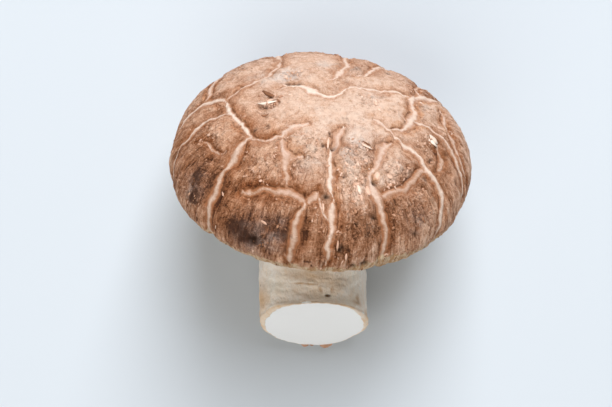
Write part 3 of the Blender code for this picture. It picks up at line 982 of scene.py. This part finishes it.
# rust on the plates' edges next to the splits, with painted shade on those that face outwards
rust_and_shade = painted(tree, "rust_and_shade")
rusty = use(tree, RAGGED, Distance=minus(tree, edge_distance, 0.9), Vector=place,
            Softness=1.1, Raggedness=1.2, Size=1.6)
plates = blend(tree, times(tree, rusty, rust_and_shade), plates, DRY_TINT, "MULTIPLY")
print(f"cap_skin: {len(tree.nodes)} nodes with its plates")

# %% Colour of the flesh in the splits
flesh_value = maths(tree, "ADD", 0.43, painted(tree, "tone"))
for mask, amount in ((patches, 0.26), (middling, 0.30), (crumbs, 0.30), (dust, 0.34)):
    flesh_value = stir(tree, flesh_value, mask, amount)
core = maths(tree, "MULTIPLY_ADD", painted(tree, "whiteness"), 0.5, 0.32)
core = times(tree, core, spread(tree, painted(tree, "inside"), 0.2, 1.0))
flesh = ramp(tree, maths(tree, "ADD", core, flesh_value), FLESH_SHADES)
white = times(tree, painted(tree, "whiteness"), spread(tree, painted(tree, "inside"), 0.3, 1.0))
white = maths(tree, "MULTIPLY", white, maths(tree, "MULTIPLY_ADD", crumbs, 0.5, 0.7), clamp=True)
flesh = blend(tree, white, flesh, WHITE_FLESH)
split = use(tree, RAGGED, Distance=edge_distance, Vector=place, Softness=0.5, Raggedness=0.9, Size=0.6)
colour = blend(tree, split, plates, flesh)
# painted shade: a thin dark line in the gap along each split's edge, broken in places
border = spread(tree, maths(tree, "ABSOLUTE", minus(tree, edge_distance, 0.15)), 0.34, 0.05)
torn_line = spread(tree, blotches(tree, place, 1.1, 4.0), 0.42, 0.62)
border = times(tree, times(tree, border, torn_line), spread(tree, rust_and_shade, 0.2, 0.8))
colour = blend(tree, times(tree, border, 0.7), colour, GAP_SHADE)
print(f"cap_skin: {len(tree.nodes)} nodes with its splits")

# %% Bruises, veil and holes
bruised = stir(tree, stir(tree, painted(tree, "bruise"), streaks, 0.5), crumbs, 0.6)
bruised = times(tree, bruised, spread(tree, painted(tree, "bruise"), 0.02, 0.2))
colour = blend(tree, times(tree, spread(tree, bruised, 0.2, 0.95), 0.9), colour, BRUISE)
from_margin = times(tree, painted(tree, "veil"), -1.0)
veil = use(tree, RAGGED, Distance=from_margin, Vector=place, Softness=0.3, Raggedness=1.3, Size=0.9)
veil_light = spread(tree, times(tree, streaks, crumbs), 0.12, 0.4)
colour = blend(tree, veil, colour, blend(tree, veil_light, CREAM, LIGHT_CREAM))
# painted shade: the holes are coloured near black for the darkness in their depth
colour = blend(tree, painted(tree, "hole"), colour, HOLE_SHADE)
feed(tree, shader.inputs["Base Color"], colour)
print(f"cap_skin: {len(tree.nodes)} nodes with its colour")

# %% Fine relief of the skin
def bump(tree, shader, height, distance):
    """Adds fine relief to a shader. The distance is what a height of 1 stands for, in metres."""
    node = tree.nodes.new("ShaderNodeBump")
    node.inputs["Distance"].default_value = distance
    feed(tree, node.inputs["Height"], height)
    feed(tree, shader.inputs["Normal"], node.outputs[0])


plate_height = maths(tree, "MULTIPLY_ADD", crumbs, 0.6, times(tree, dust, 0.45))
for mask, amount in (
    (middling, 0.8), (streaks, outwards), (pitted, -0.9), (lined, -0.8), (flecks, 0.4),
):
    plate_height = maths(tree, "MULTIPLY_ADD", mask, amount, plate_height)
on_the_split = spread(tree, edge_distance, 0.3, -0.15)
plate_height = times(tree, plate_height, minus(tree, 1.0, on_the_split))
flesh_height = maths(tree, "MULTIPLY_ADD", crumbs, 0.5, times(tree, dust, 0.4))
bump(tree, shader, maths(tree, "MULTIPLY_ADD", on_the_split, flesh_height, plate_height), 0.00032)
cap_mesh.materials.append(skin)
print(f"cap_skin: {len(tree.nodes)} nodes in all")

# %% [markdown]
# ## Flakes and shreds of skin
#
# A dry cap sheds its skin in tiny flakes that are still held at one end. Painted ones would stay flat in a
# low light, so each is a small grid of its own with a narrowed tip and a lifted end. It is placed on the
# flat skin and takes the height of the relief under it, so none is buried. They point outwards as the
# skin's fibres do, and are thickest where the skin is flaky and along the margin, where they become thin
# shreds.

# %% The shape of a flake
FLAKE_STEPS, FLAKE_ROWS = 3, 2
FLAKE_THICKNESS = 0.05 * MM
FLAKE_GAP = 0.04  # mm between the skin and a flake's root
rng = np.random.default_rng(12)
skin_tree = KDTree(len(flat))
for index, spot in enumerate(flat):
    skin_tree.insert((*spot, 0.0), index)
skin_tree.balance()


def flake_shape(bm, length, width, lift):
    """Adds a small grid, and gives each vertex with its distance ahead, aside and above the root."""
    for vert, step, row in grid_steps(bm, FLAKE_STEPS, FLAKE_ROWS):
        reach = step / FLAKE_STEPS
        taper = math.sin(math.pi * (0.13 + 0.77 * reach)) * rng.uniform(0.75, 1.1)
        aside = (row / FLAKE_ROWS - 0.5) * width * taper
        above = math.tan(math.radians(lift)) * length * reach**1.6 + 0.03 * rng.random() - 0.2 * aside**2
        yield vert, reach * length, aside, above


def flake(bm, x, y, heading, length, width, lift, tone, layer):
    """A flake on the flat skin, in millimetres and degrees. Its z is its height over the smooth cap."""
    turn = math.radians(heading)
    for vert, ahead, aside, above in flake_shape(bm, length, width, lift):
        spot_x = x + ahead * math.cos(turn) - aside * math.sin(turn)
        spot_y = y + ahead * math.sin(turn) + aside * math.cos(turn)
        near = skin_tree.find_n((spot_x, spot_y, 0.0), 3)
        weights = [1 / (distance + 0.05) for _, _, distance in near]
        under = sum(weight * relief[index] for weight, (_, index, _) in zip(weights, near)) / sum(weights)
        vert.co = (spot_x, spot_y, under + above + FLAKE_GAP)
        vert[layer] = tone


print(f"{len(flat)} skin points to lay flakes on")

# %% Flakes scattered by chance
SKIN_FLAKES = 900
MARGIN_FLAKES = 260
MARGIN_TONES = [0.25, 0.6, 0.85, 1.0]
bm = bmesh.new()
tone_layer = bm.verts.layers.float.new("tone")
chance = np.clip(flaky - 0.25, 0, 1) * away_from_apex * smooth(edge, 0.0, 0.4) * (walked < 38)
for index in rng.choice(len(flat), SKIN_FLAKES, replace=False, p=chance / chance.sum()):
    length = 0.3 + 0.5 * rng.random() ** 2
    tone = 0.66 + tones[index] + rng.normal(0.0, 0.13)
    heading = math.degrees(direction[index]) + rng.normal(0, 50)
    width = length * (0.5 + 0.4 * rng.random())
    flake(bm, *flat[index], heading, length, width, rng.uniform(0, 12), tone, tone_layer)
chance = smooth(walked, 34.5, 38.0) * (1 - smooth(walked, 41.5, 43.5)) * smooth(edge, -0.3, 0.3)
for index in rng.choice(len(flat), MARGIN_FLAKES, replace=False, p=chance / chance.sum()):
    length = 0.5 + 0.5 * rng.random()
    heading = math.degrees(direction[index]) + rng.normal(0, 20)
    width, lift, tone = rng.uniform(0.14, 0.35), rng.uniform(0, 8), rng.choice(MARGIN_TONES)
    flake(bm, *flat[index], heading, length, width, lift, tone, tone_layer)
print(f"{len(bm.faces) // (FLAKE_STEPS * FLAKE_ROWS)} flakes")

# %% Shreds with a place of their own, as (x, y, heading, length, width, lift, tone)
SHREDS = (
    (-13.2, -2.8, -4, 3.6, 0.5, 6, 1.45), (-12.5, -2.3, 18, 2.8, 1.5, 2, 1.05),
    (-12.6, 1.1, -47, 3.8, 1, 10, 0.26), (-9.6, -1.6, -65, 2, 0.5, 8, 0.35),
    (7.2, -12.1, -22, 2.4, 0.5, 8, 1.25), (7.4, -11.6, -20, 1.8, 0.3, 8, 0.3),
    (20.6, -3.7, -10, 2.5, 1.7, 8, 1.3), (20.7, -5, -5, 2.3, 1.4, 9, 1.4),
    (9.2, 0.9, -80, 1.6, 0.9, 4, 1.05), (9.7, -1.2, -60, 1.3, 0.7, 5, 1.15),
    (1, -12.2, -88, 2.6, 0.5, 4, 1.15), (0.6, -13.6, -70, 1.2, 0.5, 8, 0.3),
    (4, -14.2, -10, 1.1, 0.8, 4, 1.2), (4.5, -17.4, -40, 0.9, 0.6, 5, 1.1),
    (10.9, -17.6, -85, 2, 1.3, 3, 1.1), (9.4, -20.8, -70, 2, 1, 4, 1),
    (8.4, -22.8, -80, 1.7, 0.7, 4, 0.95), (13, -17.5, -20, 1.2, 0.9, 4, 1.05),
    (-24, -16.6, -30, 1.7, 0.5, 8, 0.25), (7.5, -21, -70, 2.2, 0.9, 6, 1.25),
    (14.4, -18.2, -60, 1.8, 0.4, 6, 1.1), (1.4, -28.6, -80, 1.2, 0.4, 6, 0.2),
    (-12.2, -6.6, -15, 1.6, 0.4, 6, 0.4), (-8.8, 3, 8, 1.6, 0.4, 4, 1.2),
    (1.3, -25.4, -80, 2.4, 0.5, 4, 1.05), (7.6, -34.4, -78, 1.5, 0.6, 5, 0.9),
    (5.4, -32.4, -84, 2, 0.5, 5, 0.85), (-19, -23, -60, 1.2, 0.5, 6, 0.9),
    (-1.3, -37.6, 12, 1.8, 0.5, 2, 0.05), (0.5, -38, -70, 0.6, 0.5, -4, 0.05),
    (-10.4, -29.6, -30, 1.4, 0.5, 6, 0.9), (-26.6, -26, -120, 1, 0.6, 12, 0.1),
    (14, -35, 10, 1, 0.6, -4, 1), (17, -33, 30, 1, 0.6, -4, 1),
)
SHRED_TONE = 0.88  # the shreds are a little duller than their own tones
for x, y, heading, length, width, lift, tone in SHREDS:
    flake(bm, x, y, heading, length, width, lift, tone * SHRED_TONE, tone_layer)
flake_mesh = mesh_from(bm, "skin_flakes")
flake_points = read_points(flake_mesh)
write_points(flake_mesh, lay_down(wrap(flake_points[:, :2], flake_points[:, 2])))
face_outward(flake_mesh, FLAKE_THICKNESS)
piece("skin_flakes", flake_mesh, "cap")

# %% [markdown]
# ## The finish of the flakes
#
# A shed flake is dark and dry, or shows its pale torn inner side. One colour for all of them would look
# like dust, and a material for each would be far too many. So every flake carries its own tone in the mesh,
# and one material turns tones into shades from dark brown to white, with a little grain.

# %% Material of the flakes
FLAKE_SHADES = ((0.0, DARK), (1.0, WHITE_FLESH), (0.2, BROWN), (0.4, CHESTNUT), (0.6, TAN), (0.8, PALE))
flake_material, tree, shader = new_material("skin_flakes", 0.7, specular=0.2)
grainy = use(tree, MOTTLING, Vector=millimetres(tree), Size=0.4, Contrast=2.0)
value = times(tree, stir(tree, painted(tree, "tone"), grainy, 0.25), 0.8)
feed(tree, shader.inputs["Base Color"], ramp(tree, value, FLAKE_SHADES))
flake_mesh.materials.append(flake_material)
print(f"skin_flakes: {len(tree.nodes)} nodes")

# %% [markdown]
# ## The gills
#
# The gills are thin leaves that hang from the chamber's ceiling and run from the stem to the margin. Every
# second one is short and starts nearer the margin, which keeps them evenly close together as the circle
# widens. One leaf could be turned round in copies, but grown leaves differ. So each is made by itself, as a
# small grid of a few faces, slightly wavy, which solidify makes a thin plate.

# %% The shape of a gill leaf
GILL_PAIRS = 116
GILL_OUTER = 24.05
GILL_INNER = 10.9
GILL_DEPTH = 5.7
GILL_THICKNESS = 0.2
SHORT_GILLS = (14.5, 17.0, 19.5)  # radii at which the short ones start
LEAF_STEPS, LEAF_ROWS = 8, 2
LEAF_SAG = 0.7  # mm by which the free edges bow down
LEAF_WAVE = 0.12
LEAF_SWAY = 0.16
WALL_SHARE = 0.07  # share of a leaf over which it shrinks towards the wall
WALL_RISE = 2.2
random.seed(4)


def leaf_edge(radius):
    """Height of the leaves' free edges, which bow down between the stem and the margin."""
    share = (radius - GILL_INNER) / (GILL_OUTER - GILL_INNER)
    return CEILING - GILL_DEPTH - LEAF_SAG * math.sin(math.pi * min(1.0, max(0.0, share)))


def leaf(bm, angle, inner, phase):
    """One leaf, hanging at this angle from the inner radius out to the chamber's wall."""
    for vert, step, row in grid_steps(bm, LEAF_STEPS, LEAF_ROWS):
        along = step / LEAF_STEPS
        radius = inner + (GILL_OUTER - inner) * along
        down = 1 - row / LEAF_ROWS
        rise = min(1.0, along * 5) ** 0.5 if inner > GILL_INNER else 1.0
        low = CEILING - (CEILING - leaf_edge(radius)) * max(rise, 0.15)
        near_wall = max(0.0, along + WALL_SHARE - 1) / WALL_SHARE
        low += LEAF_WAVE * math.sin(9.0 * along + phase * 3) + WALL_RISE * near_wall**2
        height = CEILING + 0.1 + (low - CEILING - 0.1) * down
        sway = LEAF_SWAY * math.sin(radius * 0.75 + phase) * down
        turn = angle + sway / radius
        vert.co = (radius * math.cos(turn), radius * math.sin(turn), height)


print(f"free edge at {leaf_edge(GILL_INNER):.1f} mm by the stem, sagging by {LEAF_SAG} mm")

# %% Gill leaves
bm = bmesh.new()
for number in range(2 * GILL_PAIRS):
    angle = 2 * math.pi * (number + random.uniform(-0.12, 0.12)) / (2 * GILL_PAIRS)
    is_short = number % 2
    inner = random.choice(SHORT_GILLS) + random.uniform(-0.8, 0.8) if is_short else GILL_INNER
    leaf(bm, angle, inner, random.uniform(0, 6.3))
gill_mesh = mesh_from(bm, "gill_leaves")
face_outward(gill_mesh, GILL_THICKNESS)
upright_gills = read_points(gill_mesh)
paint(gill_mesh, {"depth": (CEILING - upright_gills[:, 2]) / GILL_DEPTH})
write_points(gill_mesh, lay_down(upright_gills))
piece("gill_leaves", gill_mesh, "gills")

# %% [markdown]
# ## The finish of the gills
#
# Fresh gills are cream, a little darker along the free edge, which is the first part to dry. A plain colour
# would make them look like paper, so soft blotches vary it, and the depth that each point carries darkens
# the free edge.

# %% Material of the gills
GILL_CREAM = (0.78, 0.66, 0.48)
GILL_LIGHT = (0.88, 0.80, 0.66)
GILL_EDGE = (0.66, 0.48, 0.30)
gill_material, tree, shader = new_material("gill_leaves", 0.6)
spots = use(tree, MOTTLING, Vector=millimetres(tree), Size=2.2, Contrast=1.4)
at_edge = times(tree, spread(tree, painted(tree, "depth"), 0.8, 1.1), 0.35)
tint = blend(tree, at_edge, blend(tree, spots, GILL_CREAM, GILL_LIGHT), GILL_EDGE)
feed(tree, shader.inputs["Base Color"], tint)
bump(tree, shader, spots, 0.00005)
gill_mesh.materials.append(gill_material)
print(f"gill_leaves: {len(tree.nodes)} nodes")

# %% [markdown]
# ## The stem
#
# The stem is a stout column of fibres that bent towards the light as it grew, and a knife cut it off flat.
# It could be a tube swept along a curve, but then its relief would need a second step. So it is drawn as
# the cap was, flat, with one ring of points for each step along it, and the last rings run in over the cut
# to its middle. It follows the CAD path: straight down from the ceiling, then round a bend to the cut.

# %% The stem's path
STEM_RADIUS = 10.8
STEM_TOP = CEILING - 0.3  # the CAD stem starts a little below the ceiling
STEM_STRAIGHT = 15.0
BEND_RADIUS = 19.2
BEND_ANGLE = math.radians(65.5)
BEND_HEADING = math.radians(6.8)
STEM_SWING = 1.2  # mm to the side by the time it reaches the cut
STRAIGHT_LENGTH = STEM_STRAIGHT + STEM_TOP
STEM_LENGTH = STRAIGHT_LENGTH + BEND_RADIUS * BEND_ANGLE


def stem_place(along):
    """The matrix that puts a ring at this distance along the stem."""
    turn = max(0.0, along - STRAIGHT_LENGTH) / BEND_RADIUS
    forward = BEND_RADIUS * (1 - math.cos(turn))
    down = min(along, STRAIGHT_LENGTH) - STEM_TOP + BEND_RADIUS * math.sin(turn)
    share = along / STEM_LENGTH
    centre = Vector((STEM_SWING * share**2, -forward, -down))
    heading = Matrix.Rotation(BEND_HEADING, 4, "Z")
    return heading @ Matrix.Translation(centre) @ Matrix.Rotation(-turn, 4, "X")


print(f"the stem's path is {STEM_LENGTH:.1f} mm long")

# %% Draw the stem flat
STEM_AROUND = 210
STEM_SPACING = 0.32
side_rows = np.linspace(0.0, STEM_LENGTH, round(STEM_LENGTH / STEM_SPACING))
rim_rows = [0.12, 0.3, 0.5, 0.7, 0.9, 1.1, 1.4]  # mm inwards from the cut's edge
cut_rows = np.concatenate([rim_rows, np.linspace(1.9, STEM_RADIUS, 14)])
row_along = np.append(side_rows, np.full(len(cut_rows), STEM_LENGTH))
rows = len(row_along)

bm = bmesh.new()
centre_ring = []
for vert, column, row in grid_steps(bm, STEM_AROUND, rows - 1):
    angle = 2 * math.pi * column / STEM_AROUND
    vert.co = (math.cos(angle) * (row + 1), math.sin(angle) * (row + 1), 0)
    if row == rows - 1:
        centre_ring.append(vert)
bmesh.ops.pointmerge(bm, verts=centre_ring, merge_co=(rows, 0, 0))
bmesh.ops.remove_doubles(bm, verts=bm.verts, dist=1e-4)
bmesh.ops.holes_fill(bm, edges=[edge for edge in bm.edges if edge.is_boundary], sides=0)
stem_mesh = mesh_from(bm, "stem")
flat_stem = read_points(stem_mesh)[:, :2]
stem_row = np.hypot(flat_stem[:, 0], flat_stem[:, 1]).round().astype(int) - 1
stem_turn = np.arctan2(flat_stem[:, 1], flat_stem[:, 0])
along = row_along[stem_row]
inwards = np.append(np.zeros(len(side_rows)), cut_rows)[stem_row]
print(f"{len(along)} points on the stem")

# %% Relief of the stem, with its heights in millimetres
STEM_WAIST = 0.035
STEM_RIBS = ((2, 0.018, 20.0), (3, 0.012, 75.0), (5, 0.008, 0.0))  # how many, how strong, first at
FIBRE_HEIGHT = 0.16
LUMP_HEIGHT = 0.42
FINE_HEIGHT = 0.07
CUT_FLARE = 0.12
STEM_SUNK_BY = 0.1
CROWN_HEIGHT = 0.25  # by which the cut's middle stands out
RIM_DROP = 0.6  # by which the cut's rounded edge falls back
share = along / STEM_LENGTH
ribs = sum(part * np.cos(n * (stem_turn - math.radians(first))) for n, part, first in STEM_RIBS)
waist = 1 - STEM_WAIST * np.sin(math.pi * np.minimum(1.0, 1.6 * share))
radius = STEM_RADIUS * waist * (1 + ribs)
on_tube = np.column_stack([np.cos(stem_turn) * 10, np.sin(stem_turn) * 10, along])
stem_fibres = roughness(on_tube * (1, 1, 0.25), 1.4, 3, 31)
stem_lumps = roughness(on_tube, 5.0, 3, 37)
stem_grain = roughness(on_tube, 0.9, 2, 41)
near_cut = smooth(along, STEM_LENGTH - 2.2, STEM_LENGTH)
stem_relief = FIBRE_HEIGHT * stem_fibres + LUMP_HEIGHT * stem_lumps + FINE_HEIGHT * stem_grain
stem_relief += CUT_FLARE * near_cut - STEM_SUNK_BY
reach = (radius + stem_relief) * (1 - inwards / STEM_RADIUS)
rim_width = 0.15 + 0.85 * np.abs(np.cos(stem_turn)) ** 3  # how far the skin comes over the cut's edge
crown = CROWN_HEIGHT * np.sin(math.pi / 2 * np.clip(inwards / STEM_RADIUS, 0, 1)) * (inwards > 0)
crown -= RIM_DROP * rim_width * (1 - np.clip(inwards / rim_width, 0, 1)) ** 2 * near_cut
matrices = np.array([np.array(stem_place(step)) for step in row_along])[stem_row]
ring_points = [reach * np.cos(stem_turn), reach * np.sin(stem_turn), -crown, np.ones(len(reach))]
placed_stem = lay_down(np.einsum("nij,jn->ni", matrices, np.array(ring_points))[:, :3])
placed_stem[:, 2] = np.maximum(placed_stem[:, 2], 0.0)
write_points(stem_mesh, placed_stem)
face_outward(stem_mesh)
print(f"stem relief from {stem_relief.min():.2f} to {stem_relief.max():.2f} mm")

# %% Spots on the stem, as (degrees round it, mm from the cut, reach round it, reach along it, strength)
STEM_SPOTS = {
    "dark": ((-80, 3.7, 0.7, 0.7, 1), (-38, 3.4, 0.6, 0.9, 0.35)),
    "brown": (
        (-92, 7, 8, 6, 0.24), (-38, 4.2, 0.7, 1.5, 0.9), (-41, 3, 1.3, 0.7, 0.9),
        (-110, 8.7, 1.6, 0.5, 1), (-98, 8.6, 1.8, 0.45, 1), (-88, 6.2, 0.45, 1.9, 0.9),
        (-74, 6.6, 0.5, 2, 0.9), (-95, 12, 6, 3, 0.7), (-75, 9.5, 4, 2.8, 0.5), (-112, 13, 3, 1.2, 0.4),
        (-104, 0.9, 0.8, 0.3, 0.9), (-95, 0.7, 1, 0.3, 0.6), (-60, 10.5, 2.4, 0.6, 0.3),
        (40, 6, 3, 1.5, 0.5), (110, 9, 3, 2.5, 0.5), (150, 4, 2, 1, 0.4),
    ),
    # greyer patches, the strongest two close to the cut
    "grey": (
        (-105, 2.6, 4.2, 2.2, 0.8), (-85, 2, 3, 1.4, 0.5), (-120, 5.5, 2, 2, 0.4), (80, 5, 4, 3, 0.5),
    ),
    "pale": (
        (-80, 4, 1.5, 1.3, 0.5), (-138, 7.7, 2.4, 3, 0.6), (-44, 10, 2, 4, 0.4), (-55, 2.5, 2, 1.8, 0.4),
    ),
    "tan": (
        (-163, 4.4, 2.8, 3.8, 0.85), (-20, 0.6, 4, 0.4, 0.6), (-8, 1.2, 2, 1.6, 0.8),
        (178, 1.5, 2.5, 2, 0.8),
    ),
    "chips": (
        (-104, 0, 1.1, 0.9, 1), (-100, 0, 0.5, 1.2, 0.8), (-30, 0, 0.8, 0.5, 0.8), (60, 0, 0.9, 0.6, 1),
    ),
}
print(f"{sum(len(spots) for spots in STEM_SPOTS.values())} spots on the stem")

# %% Hand the stem's facts to its material
def turned_from(degrees):
    """How far round the stem each of its points is from this direction, in radians from -pi to pi."""
    return (stem_turn - math.radians(degrees) + math.pi) % (2 * math.pi) - math.pi


def stem_spotted(spots):
    """The strongest of the stem's spots at each point of its side."""
    total = np.zeros(len(along))
    to_cut = STEM_LENGTH - along + 0.35 * stem_lumps
    for angle, distance, round_reach, along_reach, strength in spots:
        off = (turned_from(angle) * STEM_RADIUS + 0.5 * stem_fibres) / round_reach
        total = np.maximum(total, strength * np.exp(-(off**2) - ((to_cut - distance) / along_reach) ** 2))
    return total * (inwards == 0)


paint(stem_mesh, {name: stem_spotted(spots) for name, spots in STEM_SPOTS.items()})
paint(stem_mesh, {
    "to_cut": STEM_LENGTH - along,
    "inwards": inwards - rim_width,
    "on_tube": np.column_stack([np.cos(stem_turn), np.sin(stem_turn), along / 10]),
})
piece("stem", stem_mesh, "stem")

# %% [markdown]
# ## Torn shreds at the stem's cut
#
# The knife came through the last fibres by tearing them, so a few brown shreds stand out past the cut's
# lower edge. Relief can't give them, as it only lifts the skin outwards. So each is a flake, set on the
# stem's side just before the cut, in the stem's own direction, and turned and lifted a little.

# %% Shreds at the cut, as (degrees round the stem, mm from the cut, length, width, lift, turned, tone)
CUT_SHREDS = (
    (94, 0.3, 1.0, 1.9, 4, 10, 0.7), (88, 0.3, 0.8, 1.2, 8, -20, 0.6), (72, 0.3, 1.2, 2.8, 6, -5, 0.68),
    (66, 0.3, 0.9, 1.4, 10, 15, 0.8),
)
SHRED_THICKNESS = 0.08 * MM
stem_normals = np.empty(3 * len(along))
stem_mesh.vertices.foreach_get("normal", stem_normals)
stem_normals = stem_normals.reshape(-1, 3)
last_row = len(side_rows) - 1
before_cut, at_cut = (placed_stem[stem_row == row].mean(axis=0) for row in (last_row - 11, last_row))
bm = bmesh.new()
tone_layer = bm.verts.layers.float.new("tone")
for angle, from_cut, length, width, lift, turned, tone in CUT_SHREDS:
    round_stem = np.abs(turned_from(angle)) * STEM_RADIUS
    index = int(np.argmin(np.hypot(round_stem, STEM_LENGTH - along - from_cut) + 9.0 * (inwards > 0)))
    normal = Vector(stem_normals[index])
    way = Vector(at_cut - before_cut).normalized()
    way.rotate(Matrix.Rotation(math.radians(turned), 3, normal))
    side = normal.cross(way)
    for vert, ahead, aside, above in flake_shape(bm, length, width, lift):
        vert.co = Vector(placed_stem[index]) + (way * ahead + side * aside + normal * (above - 0.05)) * MM
        vert[tone_layer] = tone
shred_mesh = mesh_from(bm, "stem_shreds")
face_outward(shred_mesh, SHRED_THICKNESS)
shred_mesh.materials.append(flake_material)
piece("stem_shreds", shred_mesh, "stem")

# %% [markdown]
# ## The finish of the stem
#
# The stem is off-white, with faint fibres along it, tan smudges where it was touched, grey patches that
# are strongest close to the cut, and a thin brown rim of skin round the smooth white cut. As on the cap,
# its colour is built up in layers: the broad smudges first, then the spots that have a place of their own,
# then the rim, and the cut over everything.

# %% Colour of the stem
FIBRE_SHADES = (0.98, 0.83, 0.68), (1.0, 0.96, 0.89)
CUT_SHADES = (0.94, 0.94, 0.93), (0.97, 0.97, 0.96)
stem_material, tree, shader = new_material("stem", 0.65, specular=0.25)
place = millimetres(tree)
tube = stretched(tree, painted(tree, "on_tube", "Vector"), (10.0, 10.0, 3.0))
smudges = use(tree, MOTTLING, Vector=place, Size=3.0, Contrast=2.6)
small = use(tree, MOTTLING, Vector=place, Size=0.7, Contrast=2.4)
fibre = use(tree, FIBRES, Vector=tube, Fineness=1.1, Contrast=2.6)
specks = use(tree, PITS, Vector=place, Spacing=2.4, Radius=0.12, Share=0.3)
rim = use(tree, RAGGED, Distance=minus(tree, painted(tree, "to_cut"), 0.35), Vector=place,
          Softness=0.3, Raggedness=0.5, Size=1.1)
base = blend(tree, fibre, *FIBRE_SHADES)
for mask, layer_colour in (
    (times(tree, spread(tree, smudges, 0.5, 1.0), 0.42), (0.84, 0.61, 0.38)),
    (times(tree, spread(tree, small, 0.55, 1.0), 0.22), (0.76, 0.60, 0.44)),
    (times(tree, painted(tree, "grey"), 0.6), (0.72, 0.64, 0.57)),
    (painted(tree, "brown"), (0.56, 0.34, 0.165)),
    (painted(tree, "tan"), (0.74, 0.45, 0.22)),
    (painted(tree, "pale"), (0.96, 0.88, 0.74)),
    (spread(tree, painted(tree, "dark"), 0.1, 0.8), (0.140, 0.075, 0.030)),
    (times(tree, specks, 0.5), (0.20, 0.11, 0.05)),
    (times(tree, rim, maths(tree, "MULTIPLY_ADD", smudges, 0.8, 0.1)), (0.80, 0.53, 0.29)),
    (spread(tree, painted(tree, "chips"), 0.3, 0.5), (0.95, 0.93, 0.89)),
):
    base = blend(tree, mask, base, layer_colour)
cut = use(tree, RAGGED, Distance=times(tree, painted(tree, "inwards"), -1.0), Vector=place,
          Softness=0.12, Raggedness=0.3, Size=0.9)
cloudy = use(tree, MOTTLING, Vector=place, Size=3.0, Contrast=1.0)
base = blend(tree, cut, base, blend(tree, cloudy, *CUT_SHADES))
feed(tree, shader.inputs["Base Color"], base)
print(f"stem: {len(tree.nodes)} nodes for its colour")

# %% Fine relief of the stem, which the smooth cut has almost none of
height = maths(tree, "MULTIPLY_ADD", fibre, 0.7, times(tree, small, 0.4))
height = times(tree, height, minus(tree, 1.0, times(tree, cut, 0.9)))
bump(tree, shader, height, 0.0002)
stem_mesh.materials.append(stem_material)
print(f"stem: {len(tree.nodes)} nodes in all")
